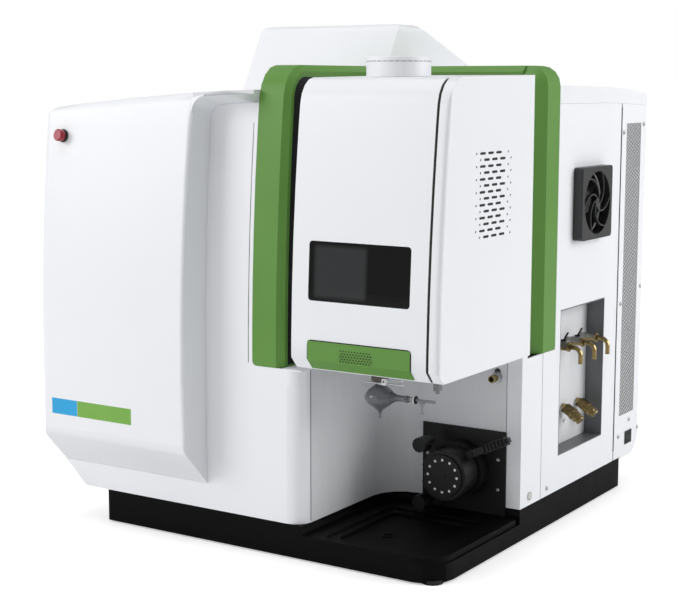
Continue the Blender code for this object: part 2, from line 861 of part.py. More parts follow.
def make_plinth():
    outline = rounded(
        [
            (-PLINTH_WIDTH, 0, PLINTH_RADIUS),
            (0, 0, PLINTH_FRONT_RADIUS),
            (0, PLINTH_DEPTH, PLINTH_RADIUS),
            (-PLINTH_WIDTH, PLINTH_DEPTH, PLINTH_RADIUS),
        ]
    )
    shape = prism("Z", outline, PLINTH_LIFT, PLINTH_HEIGHT)
    well = rounded(
        [
            (BAY_X, -OVERRUN, 0),
            (OVERRUN, -OVERRUN, 0),
            (OVERRUN, BAY_DEPTH, 0),
            (BAY_X, BAY_DEPTH, BAY_RADIUS),
        ]
    )
    hollow = rounded(
        [
            (PLINTH_RIM - PLINTH_WIDTH, PLINTH_RIM, PLINTH_RADIUS),
            (BAY_X - PLINTH_RIM, PLINTH_RIM, PLINTH_RADIUS),
            (BAY_X - PLINTH_RIM, BAY_DEPTH + PLINTH_RIM, PLINTH_RADIUS),
            (-PLINTH_RIM, BAY_DEPTH + PLINTH_RIM, PLINTH_RADIUS),
            (-PLINTH_RIM, PLINTH_DEPTH - PLINTH_RIM, PLINTH_RADIUS),
            (PLINTH_RIM - PLINTH_WIDTH, PLINTH_DEPTH - PLINTH_RIM, PLINTH_RADIUS),
        ]
    )
    pockets = [
        rod("Z", spot, FOOT_RADIUS + FIT, 0, PLINTH_LIFT + FOOT_SINK, SMALL_ROUND) for spot in foot_spots()
    ]
    shape = cut(
        shape,
        prism("Z", well, TRAY_LEDGE, PLINTH_HEIGHT + OVERRUN),
        prism("Z", hollow, 0, PLINTH_HEIGHT - PLINTH_DECK),
        gathered(pockets),
    )
    place("base_plinth", shape, "black")


def foot_spots():
    left = FOOT_INSET - PLINTH_WIDTH
    back = PLINTH_DEPTH - FOOT_INSET
    return [(left, FOOT_INSET), (-FOOT_INSET, FOOT_INSET), (-FOOT_INSET, back), (left, back)]


def make_feet():
    names = ("left_front", "right_front", "right_rear", "left_rear")
    for name, spot in zip(names, foot_spots()):
        foot = rod("Z", (0, 0), FOOT_RADIUS, 0, PLINTH_LIFT + FOOT_SINK - FIT, SMALL_ROUND)
        place("foot_" + name, foot, "rubber", (*spot, 0))


def make_tray():
    bottom = TRAY_LEDGE + FIT
    shape = prism("Z", tray_outline(), bottom, TRAY_RIM)
    left = BAY_X + TRAY_LEFT_BORDER
    right = -TRAY_RIGHT - TRAY_SIDE_BORDER
    back = BAY_DEPTH - PANEL - TRAY_BACK_BORDER
    outer = rounded(
        [
            (left, TRAY_FRONT_BORDER, TRAY_POCKET_RADIUS),
            (right, TRAY_FRONT_BORDER, TRAY_POCKET_RADIUS),
            (right, back, TRAY_POCKET_RADIUS),
            (left, back, TRAY_POCKET_RADIUS),
        ]
    )
    inner = rounded(
        [
            (left + TRAY_INNER_BORDER, TRAY_FRONT_BORDER + TRAY_INNER_BORDER, TRAY_POCKET_RADIUS),
            (right - TRAY_INNER_BORDER, TRAY_FRONT_BORDER + TRAY_INNER_BORDER, TRAY_POCKET_RADIUS),
            (right - TRAY_INNER_BORDER, back - TRAY_INNER_BORDER, TRAY_POCKET_RADIUS),
            (left + TRAY_INNER_BORDER, back - TRAY_INNER_BORDER, TRAY_POCKET_RADIUS),
        ]
    )
    shape = cut(
        shape,
        prism("Z", outer, TRAY_RIM - TRAY_STEP, TRAY_RIM + OVERRUN),
        prism("Z", inner, bottom + TRAY_FLOOR, TRAY_RIM + OVERRUN),
    )
    floor = bottom + TRAY_FLOOR
    drain = (-DRAIN_X, DRAIN_Y)
    ring = cut(
        rod("Z", drain, DRAIN_RADIUS, bottom + TRAY_FLOOR / 2, floor + DRAIN_RING, SMALL_ROUND),
        rod("Z", drain, DRAIN_RADIUS - DRAIN_RING, floor, floor + OVERRUN, SMALL_ROUND),
    )
    place("drip_tray", fuse(shape, ring), "black")


# Left body: optics cover, front bezel, side panel


def cover_solid(inset, back):
    """Outer form of the optics cover, or of its hollow when inset."""
    left = LEFT_X + inset
    right = COVER_RIGHT_X - FIT - inset
    front = -COVER_PROUD + inset
    base = SKIRT_TOP + FIT + inset
    top = CROWN_TOP - inset
    side = rounded(
        [
            (back, base, 0),
            (0, base, 0),
            (front, COVER_CHIN, COVER_CHIN_RADIUS),
            (front, top, COVER_TOP_RADIUS - inset),
            (back, top, 0),
        ]
    )
    plan = rounded(
        [
            (left, back, 0),
            (left, front, COVER_EDGE_RADIUS - inset),
            (right, front, COVER_FLANK_RADIUS - inset),
            (right, back, 0),
        ]
    )
    face = rounded(
        [
            (left, 0, 0),
            (right, 0, 0),
            (right, top, 0),
            (left, top, COVER_CORNER_RADIUS - inset),
        ]
    )
    return common(
        prism("X", side, left, right),
        prism("Z", plan, 0, CROWN_TOP + OVERRUN),
        prism("Y", face, front - OVERRUN, back + OVERRUN),
    )


def make_optics_cover():
    shape = cover_solid(0, COVER_BACK)
    hollow = cover_solid(PANEL, COVER_BACK + OVERRUN)
    low = box(
        (COVER_RIGHT_X - OVERRUN, -FIT, 0),
        (COVER_RIGHT_X + OVERRUN, COVER_BACK + OVERRUN, CROWN_TOP - PANEL),
    )
    shape = cut(shape, hollow, low)
    hole = rod("Y", (-BUTTON_X, BUTTON_Z), BUTTON_STEM_RADIUS + FIT, -COVER_PROUD - OVERRUN, 0, SMALL_ROUND)
    place("optics_cover", cut(leaned(crowned(shape)), hole), "white")


def make_front_bezel():
    inner = BAY_X - PANEL
    path = rounded(
        [
            (LEFT_X, 0, 0),
            (BAY_X, 0, BODY_RADIUS),
            (BAY_X, BODY_RADIUS, 0),
            (inner, BODY_RADIUS, 0),
            (inner, PANEL, BODY_RADIUS - PANEL),
            (LEFT_X, PANEL, 0),
        ]
    )
    shape = prism("Z", path, BODY_BOTTOM, CROWN_TOP - LIP_DROP - FIT)
    behind_cover = box(
        (LEFT_X - OVERRUN, -OVERRUN, SKIRT_TOP),
        (COVER_RIGHT_X - OVERRUN, OVERRUN, CROWN_TOP),
    )
    notch_left = BAND_X - FIT
    notch = [
        (notch_left, LOWER_TOP - FIT, BAND_FOOT_RADIUS),
        (OVERRUN, LOWER_TOP - FIT, 0),
        (OVERRUN, CROWN_TOP, 0),
        (notch_left, CROWN_TOP, 0),
    ]
    tuck = [
        (LEFT_X - OVERRUN, BODY_BOTTOM - OVERRUN),
        (LEFT_X + SKIRT_TUCK + PANEL + FIT, BODY_BOTTOM - OVERRUN),
        (LEFT_X + SKIRT_TUCK + PANEL + FIT, BODY_BOTTOM),
        (LEFT_X + PANEL + FIT, SKIRT_TOP),
        (LEFT_X + PANEL + FIT, SKIRT_TOP + OVERRUN),
        (LEFT_X - OVERRUN, SKIRT_TOP + OVERRUN),
    ]
    shape = cut(
        shape,
        behind_cover,
        prism("Y", rounded(notch), -OVERRUN, BAY_DEPTH),
        prism("Y", tuck, -OVERRUN, OVERRUN),
    )
    place("front_bezel", leaned(crowned(shape)), "white")


def make_left_side_panel():
    """Side sheet with its tucked skirt and the floor flange that laps over the plinth."""
    back = REAR_Y
    top = SKIRT_SEAM
    side = rounded(
        [
            (0, BODY_BOTTOM, 0),
            (PLINTH_DEPTH + FIT, BODY_BOTTOM, 0),
            (PLINTH_DEPTH + FIT, REAR_LIFT, 0),
            (back, REAR_LIFT, REAR_RADIUS),
            (back, top, 0),
            (COVER_BACK + FIT, top, 0),
            (COVER_BACK + FIT, SKIRT_TOP, 0),
            (0, SKIRT_TOP, 0),
        ]
    )
    face = [
        (LEFT_X + SKIRT_TUCK, REAR_LIFT),
        (LEFT_X + SKIRT_TUCK, BODY_BOTTOM),
        (LEFT_X, SKIRT_TOP),
        (LEFT_X, top),
        (LEFT_X + PANEL, top),
        (LEFT_X + PANEL, SKIRT_TOP),
        (LEFT_X + SKIRT_TUCK + PANEL, BODY_BOTTOM),
        (LEFT_X + SKIRT_TUCK + PANEL, REAR_LIFT),
    ]
    shape = common(
        prism("X", side, LEFT_X - OVERRUN, LEFT_X + SKIRT_TUCK + OVERRUN),
        prism("Y", face, 0, back),
    )
    floor = box(
        (LEFT_X + SKIRT_TUCK, PANEL + FIT, BODY_BOTTOM),
        (FLOOR_LAP - PLINTH_WIDTH, PLINTH_DEPTH, BODY_BOTTOM + PANEL),
    )
    place("left_side_panel", leaned(crowned(fallen(fuse(shape, floor)))), "white")


# Bay walls and column


def make_bay_liner():
    """Smooth wall of the sample bay, from the bezel's seam round to the column."""
    wall = rounded(
        [
            (BAY_X, BODY_RADIUS + FIT, 0),
            (BAY_X, BAY_DEPTH, BAY_RADIUS),
            (-COLUMN_WIDTH - FIT, BAY_DEPTH, 0),
            (-COLUMN_WIDTH - FIT, BAY_DEPTH + PANEL, 0),
            (BAY_X - PANEL, BAY_DEPTH + PANEL, BAY_RADIUS + PANEL),
            (BAY_X - PANEL, BODY_RADIUS + FIT, 0),
        ]
    )
    shape = prism("Z", wall, BODY_BOTTOM, TORCH_BOTTOM - FIT)
    motor_hole = rod(
        "Y", (-PUMP_X, PUMP_Z), MOTOR_RADIUS + FIT, BAY_DEPTH - OVERRUN, BAY_DEPTH + OVERRUN
    )
    port_hole = rod(
        "Y", (-PORT_X, PORT_Z), PORT_RADIUS, BAY_DEPTH - OVERRUN, BAY_DEPTH + OVERRUN, SMALL_ROUND
    )
    place("bay_liner", cut(shape, motor_hole, port_hole), "bay_grey")


def make_column():
    path = [
        (-COLUMN_WIDTH, BAY_DEPTH),
        (0, BAY_DEPTH),
        (0, COLUMN_BACK),
        (-PANEL, COLUMN_BACK),
        (-PANEL, BAY_DEPTH + PANEL),
        (-COLUMN_WIDTH, BAY_DEPTH + PANEL),
    ]
    shape = prism("Z", path, BODY_BOTTOM, TORCH_BOTTOM - FIT)
    under_band = box(
        (-COLUMN_WIDTH, BAND_BACK - FIT, LOWER_TOP - FIT), (OVERRUN, COLUMN_BACK + OVERRUN, TORCH_BOTTOM)
    )
    barrel = rod("X", (LOCK_Y, LOCK_Z), LOCK_BARREL_RADIUS + FIT, -OVERRUN, OVERRUN, SMALL_ROUND)
    place("right_column", cut(shape, under_band, barrel), "white")


def make_torch_niche():
    """Upper wall behind the trim band: side wall, back wall and the ledge at its foot."""
    left = BAND_RIGHT_X - PANEL
    front = BAND_DEPTH + FIT
    back = BAND_BACK - FIT
    top = BAND_TOP - BAND_DEPTH - FIT
    outline = rounded(
        [
            (front, LOWER_TOP, 0),
            (back, LOWER_TOP, 0),
            (back, top, 0),
            (front, top, BAND_BEND - BAND_DEPTH),
        ]
    )
    side = prism("X", outline, left, BAND_RIGHT_X)
    rear = box((left, back - PANEL, LOWER_TOP), (-BAND_DEPTH, back, top))
    ledge = box((left, front, LOWER_TOP), (BAY_X - PANEL - FIT, back, LOWER_TOP + PANEL))
    place("torch_niche", leaned(fuse(side, rear, ledge)), "dark_grey")


# Trim band


def bent_band(axis, post, arm, foot, top, bend, thickness, low, high):
    """A post with a rounded bend into an arm, drawn across an axis."""
    outer_sign = 1 if arm > post else -1
    inner = max(bend - thickness, FIT)
    corners = [
        (post, foot, 0),
        (post, top, bend),
        (arm, top, 0),
        (arm, top - thickness, 0),
        (post + outer_sign * thickness, top - thickness, inner),
        (post + outer_sign * thickness, foot, 0),
    ]
    return prism(axis, rounded(corners), low, high)


def chamfered(shape, width, choose):
    """Chamfer the edges whose two ends the test picks."""
    edges = [e for e in shape.edges if all(choose(v.co) for v in e.verts)]
    bmesh.ops.bevel(shape, geom=edges, offset=width, offset_type="OFFSET", segments=1, affect="EDGES")
    return shape


def make_left_band():
    shape = bent_band(
        "X", 0, BAND_BACK - FIT, LOWER_TOP, BAND_TOP, BAND_BEND, BAND_DEPTH, BAND_X, BAND_RIGHT_X
    )
    tiny = FIT / 2
    inner = BAND_BEND - BAND_DEPTH

    def outer_edge(point):
        if abs(point.x - BAND_RIGHT_X) > tiny:
            return False
        centre_y = BAND_BEND
        centre_z = BAND_TOP - BAND_BEND
        if point.y < centre_y and point.z > centre_z:
            reach = math.hypot(point.y - centre_y, point.z - centre_z)
            return reach > inner + BAND_DEPTH / 2
        return point.y < tiny or point.z > BAND_TOP - tiny

    shape = chamfered(shape, BAND_CHAMFER, outer_edge)
    corner = rounded(
        [
            (BAND_X, LOWER_TOP, BAND_FOOT_RADIUS),
            (BAND_RIGHT_X + OVERRUN, LOWER_TOP, 0),
            (BAND_RIGHT_X + OVERRUN, BAND_TOP + OVERRUN, 0),
            (BAND_X, BAND_TOP + OVERRUN, 0),
        ]
    )
    shape = common(shape, prism("Y", corner, -OVERRUN, BAND_BACK))
    place("trim_band_left", leaned(shape), "green")


def make_rear_band():
    shape = box(
        (BAND_X, BAND_BACK, BAND_TOP - BAND_DEPTH), (-REAR_BAND_SEAM - FIT, REAR_BAND_BACK, BAND_TOP)
    )
    shape = chamfered(
        shape,
        BAND_CHAMFER,
        lambda p: p.y < BAND_BACK + FIT and p.z > BAND_TOP - FIT,
    )
    place("trim_band_rear", shape, "green")


def make_right_band():
    shape = bent_band(
        "Y", 0, -REAR_BAND_SEAM, LOWER_TOP, BAND_TOP, RIGHT_BEND, RIGHT_DEPTH, BAND_BACK, REAR_BAND_BACK
    )
    tiny = FIT / 2
    centre_x = -RIGHT_BEND
    centre_z = BAND_TOP - RIGHT_BEND

    def outer_edge(point):
        if point.y > BAND_BACK + tiny:
            return False
        if point.x > centre_x + tiny and point.z > centre_z + tiny:
            return math.hypot(point.x - centre_x, point.z - centre_z) > RIGHT_BEND - tiny
        return point.x > -tiny or point.z > BAND_TOP - tiny

    shape = chamfered(shape, RIGHT_CHAMFER, outer_edge)
    corner = rounded(
        [
            (BAND_BACK - OVERRUN, LOWER_TOP, 0),
            (REAR_BAND_BACK, LOWER_TOP, BAND_FOOT_RADIUS),
            (REAR_BAND_BACK, BAND_TOP + OVERRUN, 0),
            (BAND_BACK - OVERRUN, BAND_TOP + OVERRUN, 0),
        ]
    )
    shape = common(shape, prism("X", corner, -REAR_BAND_SEAM - OVERRUN, OVERRUN))
    place("trim_band_right", shape, "green")


# Top lid, hood and rear


def lid_outline(inset, lip_front):
    """Plan of the lid, which goes round the trim band."""
    left = LEFT_X + inset
    band_side = BAND_X - FIT - inset
    band_back = REAR_BAND_BACK + FIT + inset
    return [
        (left, COVER_BACK + FIT + inset),
        (COVER_RIGHT_X + inset, COVER_BACK + FIT + inset),
        (COVER_RIGHT_X + inset, lip_front),
        (band_side, lip_front),
        (band_side, band_back),
        (-inset, band_back),
        (-inset, REAR_Y - inset),
        (left, REAR_Y - inset),
    ]


def lid_solid(inset):
    """Lid drawn with a flat top, or its hollow when inset."""
    left = LEFT_X + inset
    top = CROWN_TOP - inset
    bottom = CROWN_TOP - LID_SKIRT - OVERRUN * (1 if inset else 0)
    face = rounded(
        [
            (left, bottom, 0),
            (-inset, bottom, 0),
            (-inset, top, 0),
            (left, top, COVER_CORNER_RADIUS - inset),
        ]
    )
    side = rounded(
        [
            (-COVER_PROUD, bottom, 0),
            (REAR_Y - inset, bottom, 0),
            (REAR_Y - inset, top, LID_REAR_RADIUS - inset),
            (-COVER_PROUD, top, 0),
        ]
    )
    front = COVER_BACK if inset else -COVER_PROUD
    return common(
        prism("Z", lid_outline(inset, front), bottom, top),
        prism("Y", face, -COVER_PROUD - OVERRUN, REAR_Y + OVERRUN),
        prism("X", side, LEFT_X - OVERRUN, OVERRUN),
    )


def make_lid():
    wedge = [
        (-COVER_PROUD - OVERRUN, 0),
        (-COVER_PROUD - OVERRUN, CROWN_TOP - LIP_EDGE),
        (-COVER_PROUD, CROWN_TOP - LIP_EDGE),
        (0, CROWN_TOP - LIP_DROP),
        (PANEL + FIT, CROWN_TOP - LIP_DROP),
        (PANEL + FIT, 0),
    ]
    shape = cut(
        lid_solid(0),
        lid_solid(PANEL),
        prism("X", wedge, COVER_RIGHT_X - OVERRUN, BAND_X + OVERRUN),
    )
    place("top_lid", leaned(crowned(fallen(shape))), "white")


def hood_solid(inset):
    """Hood with its front leaning back and its long slope to the rear, or its hollow."""
    base = CROWN_TOP - HOOD_SINK
    top = HOOD_TOP - inset
    front = HOOD_FRONT - HOOD_LEAN + inset
    slope_start = HOOD_FRONT + HOOD_LEAN + HOOD_FLAT
    side = rounded(
        [
            (front, base, 0),
            (HOOD_FRONT + HOOD_LEAN + inset, top, HOOD_RADIUS),
            (slope_start, top, HOOD_RADIUS),
            (HOOD_TAIL - inset, top - HOOD_SLOPE_DROP, HOOD_RADIUS),
            (HOOD_END - inset, CROWN_TOP - HOOD_END_DROP - inset, 0),
            (HOOD_END - inset, base, 0),
        ]
    )
    left = -HOOD_RIGHT - HOOD_WIDTH + inset
    right = -HOOD_RIGHT - inset
    face = rounded(
        [
            (left, base, 0),
            (right, base, 0),
            (right, top, HOOD_SIDE_RADIUS),
            (left, top, HOOD_SIDE_RADIUS),
        ]
    )
    return common(prism("X", side, left, right), prism("Y", face, 0, REAR_Y + OVERRUN))


def make_hood():
    low = CROWN_TOP - HOOD_SINK - OVERRUN
    seat = box((LEFT_X, 0, low), (0, REAR_Y + OVERRUN, CROWN_TOP + FIT))
    seat = crowned(fallen(seat))
    band = box((BAND_X - FIT, 0, low), (OVERRUN, REAR_BAND_BACK + FIT, BAND_TOP + FIT))
    place("rear_hood", cut(hood_solid(0), hood_solid(PANEL), seat, band), "white")


def make_rear_cover():
    outer = [
        (PLINTH_DEPTH + FIT, REAR_LIFT, 0),
        (REAR_Y, REAR_LIFT, REAR_RADIUS),
        (REAR_Y, SKIRT_SEAM, 0),
        (REAR_Y - PANEL, SKIRT_SEAM, 0),
        (REAR_Y - PANEL, REAR_LIFT + PANEL, REAR_RADIUS - PANEL),
        (PLINTH_DEPTH + FIT, REAR_LIFT + PANEL, 0),
    ]
    shape = prism("X", rounded(outer), LEFT_X + PANEL + FIT, -PANEL - FIT)
    tuck = [
        (LEFT_X, REAR_LIFT - OVERRUN),
        (LEFT_X + SKIRT_TUCK + PANEL + FIT, REAR_LIFT - OVERRUN),
        (LEFT_X + SKIRT_TUCK + PANEL + FIT, BODY_BOTTOM),
        (LEFT_X + PANEL + FIT, SKIRT_TOP),
        (LEFT_X, SKIRT_TOP),
    ]
    half_w = INLET_WIDTH / 2 + INLET_CLEARANCE
    half_h = INLET_HEIGHT / 2 + INLET_CLEARANCE
    socket = box(
        (-INLET_X - half_w, REAR_Y - OVERRUN, INLET_Z - half_h),
        (-INLET_X + half_w, REAR_Y + OVERRUN, INLET_Z + half_h),
    )
    shape = cut(shape, prism("Y", tuck, PLINTH_DEPTH, REAR_Y + OVERRUN), socket)
    place("rear_cover", crowned(fallen(shape)), "white")


def make_power_inlet():
    """Mains inlet on the back: flange, open shell and three flat pins."""
    half_w = INLET_WIDTH / 2
    half_h = INLET_HEIGHT / 2
    face = REAR_Y + FIT
    shell = cut(
        box((-half_w, -INLET_DEPTH, -half_h), (half_w, INLET_FACE, half_h)),
        box(
            (-half_w + INLET_WALL, INLET_WALL - INLET_DEPTH, -half_h + INLET_WALL),
            (half_w - INLET_WALL, OVERRUN, half_h - INLET_WALL),
        ),
    )
    pins = [
        box(
            (i * INLET_PIN_PITCH - INLET_PIN / 2, -INLET_DEPTH + INLET_WALL / 2, -INLET_PIN_HEIGHT / 2),
            (i * INLET_PIN_PITCH + INLET_PIN / 2, 0, INLET_PIN_HEIGHT / 2),
        )
        for i in (-1, 0, 1)
    ]
    body = fuse(shell, *pins)
    rim = cut(
        box(
            (-half_w - INLET_FLANGE, 0, -half_h - INLET_FLANGE / 2),
            (half_w + INLET_FLANGE, INLET_FACE, half_h + INLET_FLANGE / 2),
        ),
        box(
            (-half_w + INLET_WALL / 2, -OVERRUN, -half_h + INLET_WALL / 2),
            (half_w - INLET_WALL / 2, OVERRUN, half_h - INLET_WALL / 2),
        ),
    )
    place("power_inlet", fuse(body, rim), "black", (-INLET_X, face, INLET_Z))


# Right side panels, vent and service recess


def make_side_panel():
    outline = [
        (COLUMN_BACK + FIT, BODY_BOTTOM),
        (SIDE_BACK, BODY_BOTTOM),
        (SIDE_BACK, SKIRT_SEAM),
        (REAR_BAND_BACK + FIT, SKIRT_SEAM),
        (REAR_BAND_BACK + FIT, LOWER_TOP - FIT),
        (COLUMN_BACK + FIT, LOWER_TOP - FIT),
    ]
    shape = crowned(fallen(prism("X", outline, -PANEL, 0)))
    recess = rectangle(RECESS_FRONT, RECESS_BOTTOM, RECESS_LENGTH, RECESS_HEIGHT)
    shape = cut(
        shape,
        prism("X", recess, -OVERRUN, OVERRUN),
        rod("X", (FAN_Y, FAN_Z), FAN_BORE_RADIUS, -OVERRUN, OVERRUN),
    )
    place("side_panel", shape, "white")


def make_rear_side_panel():
    outline = rounded(
        [
            (REAR_PANEL_FRONT, BODY_BOTTOM, 0),
            (PLINTH_DEPTH + FIT, BODY_BOTTOM, 0),
            (PLINTH_DEPTH + FIT, REAR_LIFT, 0),
            (REAR_Y, REAR_LIFT, REAR_RADIUS),
            (REAR_Y, SKIRT_SEAM, 0),
            (REAR_PANEL_FRONT, SKIRT_SEAM, 0),
        ]
    )
    shape = crowned(fallen(prism("X", outline, -PANEL, 0)))
    vent = rectangle(REAR_VENT_FRONT, REAR_VENT_BOTTOM, REAR_VENT_WIDTH, REAR_VENT_HEIGHT)
    switch = rectangle(SWITCH_Y, SWITCH_Z, SWITCH_WIDTH, SWITCH_HEIGHT)
    shape = cut(shape, prism("X", vent, -OVERRUN, OVERRUN), prism("X", switch, -OVERRUN, OVERRUN))
    place("rear_side_panel", shape, "white")


def make_side_vent():
    back = REAR_VENT_FRONT + REAR_VENT_WIDTH
    top = REAR_VENT_BOTTOM + REAR_VENT_HEIGHT
    shape = box(
        (-PANEL + FIT, REAR_VENT_FRONT + FIT, REAR_VENT_BOTTOM + FIT),
        (-PANEL + FIT + MESH_PLATE, back - FIT, top - FIT),
    )
    place("side_vent_mesh", shape, "grey")


def make_service_recess():
    low = (-RECESS_DEPTH, RECESS_FRONT + FIT, RECESS_BOTTOM + FIT)
    high = (0, RECESS_FRONT + RECESS_LENGTH - FIT, RECESS_BOTTOM + RECESS_HEIGHT - FIT)
    frame = cut(
        box(low, high),
        box(
            (-RECESS_DEPTH - OVERRUN, low[1] + RECESS_WALL, low[2] + RECESS_WALL),
            (OVERRUN, high[1] - RECESS_WALL, high[2] - RECESS_WALL),
        ),
    )
    place("service_recess_frame", frame, "grey")
    plate = box((low[0] - FIT - RECESS_WALL, low[1], low[2]), (low[0] - FIT, high[1], high[2]))
    back = low[0] - FIT - RECESS_WALL
    last = ELBOW_Y + ELBOW_PITCH * (ELBOW_COUNT - 1)
    block = box(
        (back - MANIFOLD_DEPTH, ELBOW_Y - MANIFOLD_HEIGHT / 2, ELBOW_Z - MANIFOLD_HEIGHT / 2),
        (back + FIT, last, ELBOW_Z + MANIFOLD_HEIGHT / 2),
    )
    place("service_recess_plate", fuse(plate, block), "white")


def make_elbow_fittings():
    """Gas outlets: a hex nut, a round body and a tube that bends down, with a valve block on two."""
    root = -RECESS_DEPTH + FIT
    for i in range(ELBOW_COUNT):
        nut = rod("X", (0, 0), ELBOW_NUT_RADIUS, 0, ELBOW_NUT, HEX_SIDES)
        body = rod("X", (0, 0), ELBOW_BODY_RADIUS, ELBOW_NUT / 2, ELBOW_NUT + ELBOW_BODY, SMALL_ROUND)
        end = FITTING_REACH - root - ELBOW_TUBE_RADIUS - ELBOW_BEND
        bend = [
            (end + ELBOW_BEND * math.sin(a), 0, ELBOW_BEND * (math.cos(a) - 1))
            for a in [math.pi / 2 * j / BEND_STEPS for j in range(BEND_STEPS + 1)]
        ]
        path = [(ELBOW_NUT, 0, 0)] + bend + [(end + ELBOW_BEND, 0, -ELBOW_BEND - ELBOW_DROP)]
        shape = fuse(nut, body, tube(path, ELBOW_TUBE_RADIUS))
        if i < VALVE_LEVER_COUNT:
            half = VALVE_BLOCK / 2
            start = ELBOW_NUT + FIT
            block = box((start, -half, 0), (start + VALVE_BLOCK - FIT, half, VALVE_BLOCK_RISE))
            shape = fuse(shape, block)
        name = "gas_fitting_%d" % (i + 1)
        y = ELBOW_Y + ELBOW_PITCH * i
        place(name, shape, "brass", (root, y, ELBOW_Z))
        if i < VALVE_LEVER_COUNT:
            make_valve_lever("gas_valve_lever_%d" % (i + 1), root + ELBOW_NUT + VALVE_BLOCK / 2, y)


def make_valve_lever(name, x, y):
    """Thin lever on a valve block, hinged across it."""
    half = VALVE_LEVER_WIDTH / 2
    hub = rod("Z", (0, 0), VALVE_LEVER_WIDTH, 0, VALVE_LEVER, SMALL_ROUND)
    blade = box((-VALVE_LEVER / 2, -half, 0), (VALVE_LEVER / 2, half, VALVE_LEVER_LENGTH))
    blade = moved(blade, (0, 0, 0), (0, VALVE_LEVER_TILT, 0))
    shape = fuse(hub, cut(blade, box((-OVERRUN, -OVERRUN, -OVERRUN), (OVERRUN, OVERRUN, VALVE_LEVER / 2))))
    place(name, shape, "black", (x, y, ELBOW_Z + VALVE_BLOCK_RISE + FIT))


def make_push_fittings():
    """Water fittings: a threaded base square to the plate and a body pointing out and down."""
    root = -RECESS_DEPTH + FIT
    for i in range(PUSH_COUNT):
        base = rod("X", (0, 0), PUSH_BASE_RADIUS, 0, PUSH_BASE, SMALL_ROUND)
        body = rod("X", (0, 0), PUSH_RADIUS, -PUSH_BASE_LAP, PUSH_LENGTH - PUSH_COLLET, HEX_SIDES)
        mouth = PUSH_LENGTH - PUSH_COLLET
        collet = cut(
            rod("X", (0, 0), PUSH_COLLET_RADIUS, PUSH_LENGTH / 2, PUSH_LENGTH, SMALL_ROUND),
            rod("X", (0, 0), PUSH_BORE_RADIUS, mouth, PUSH_LENGTH + OVERRUN, SMALL_ROUND),
        )
        arm = moved(fuse(body, collet), (PUSH_BASE, 0, 0), (0, PUSH_ANGLE, 0))
        arm = cut(arm, box((-PUSH_LENGTH, -PUSH_LENGTH, -PUSH_LENGTH), (FIT, PUSH_LENGTH, PUSH_LENGTH)))
        shape = fuse(base, arm)
        place("water_fitting_%d" % (i + 1), shape, "brass", (root, PUSH_Y + PUSH_PITCH * i, PUSH_Z))


def make_switch():
    """Mains rocker switch: a bezel in the panel and the rocker that tips in it."""
    half_w = SWITCH_WIDTH / 2
    half_h = SWITCH_HEIGHT / 2
    bezel = fuse(
        box((-SWITCH_DEPTH, FIT - half_w, FIT - half_h), (SWITCH_PROUD / 2, half_w - FIT, half_h - FIT)),
        box(
            (FIT, -half_w - SWITCH_RIM / 2, -half_h - SWITCH_RIM / 2),
            (SWITCH_PROUD, half_w + SWITCH_RIM / 2, half_h + SWITCH_RIM / 2),
        ),
    )
    hole_w = half_w - SWITCH_RIM
    hole_h = half_h - SWITCH_RIM
    bezel = cut(bezel, box((SWITCH_RIM - SWITCH_DEPTH, -hole_w, -hole_h), (OVERRUN, hole_w, hole_h)))
    centre = (0, SWITCH_Y + half_w, SWITCH_Z + half_h)
    place("switch_bezel", bezel, "black", centre)
    reach = hole_h - 2 * FIT
    nose = reach * math.tan(ROCKER_TILT) / 2
    profile = [
        (-SWITCH_RIM, SWITCH_EDGE - reach),
        (SWITCH_PROUD + nose, SWITCH_EDGE - reach),
        (SWITCH_PROUD, 0),
        (SWITCH_PROUD - nose, reach - SWITCH_EDGE),
        (-SWITCH_RIM, reach - SWITCH_EDGE),
        (-SWITCH_RIM - reach / 2, 0),
    ]
    rocker = prism("Y", profile, FIT - hole_w, hole_w - FIT)
    place("switch_rocker", rocker, "black", centre)


# Fan


def make_fan():
    half = FAN_SIZE / 2
    centre = (0, FAN_Y, FAN_Z)
    frame = prism("X", rectangle(-half, -half, FAN_SIZE, FAN_SIZE, FAN_CORNER), FIT, FAN_PROUD)
    frame = cut(frame, rod("X", (0, 0), FAN_BORE_RADIUS, -OVERRUN, FAN_PROUD + OVERRUN))
    place("fan_cover", fuse(frame, *fan_guard()), "black", centre)
    make_fan_body(centre)
    make_fan_rotor(centre)


def fan_guard():
    """Solids of the spiral guard: a small hub and vanes that sweep from it to the frame."""
    back = FAN_PROUD - GUARD_DEPTH
    hub = rod("X", (0, 0), GUARD_HUB_RADIUS, back, FAN_PROUD, SMALL_ROUND)
    vanes = []
    inner = GUARD_HUB_RADIUS * SHARE_OF_HALF
    end = FAN_BORE_RADIUS + GUARD_VANE
    for i in range(GUARD_VANES):
        turn = 2 * math.pi * i / GUARD_VANES
        sides = ([], [])
        for j in range(GUARD_STEPS + 1):
            share = j / GUARD_STEPS
            radius = inner + (end - inner) * share
            angle = turn + GUARD_SWEEP * share ** SHARE_OF_HALF
            middle = Vector((radius * math.cos(angle), radius * math.sin(angle)))
            slope = angle + math.atan2(GUARD_SWEEP * SHARE_OF_HALF * share ** SHARE_OF_HALF * radius, radius)
            side = Vector((-math.sin(slope), math.cos(slope))) * GUARD_VANE / 2
            sides[0].append(tuple(middle + side))
            sides[1].append(tuple(middle - side))
        vanes.append(prism("X", sides[0] + sides[1][::-1], back + FIT, FAN_PROUD - FIT))
    return [hub] + vanes


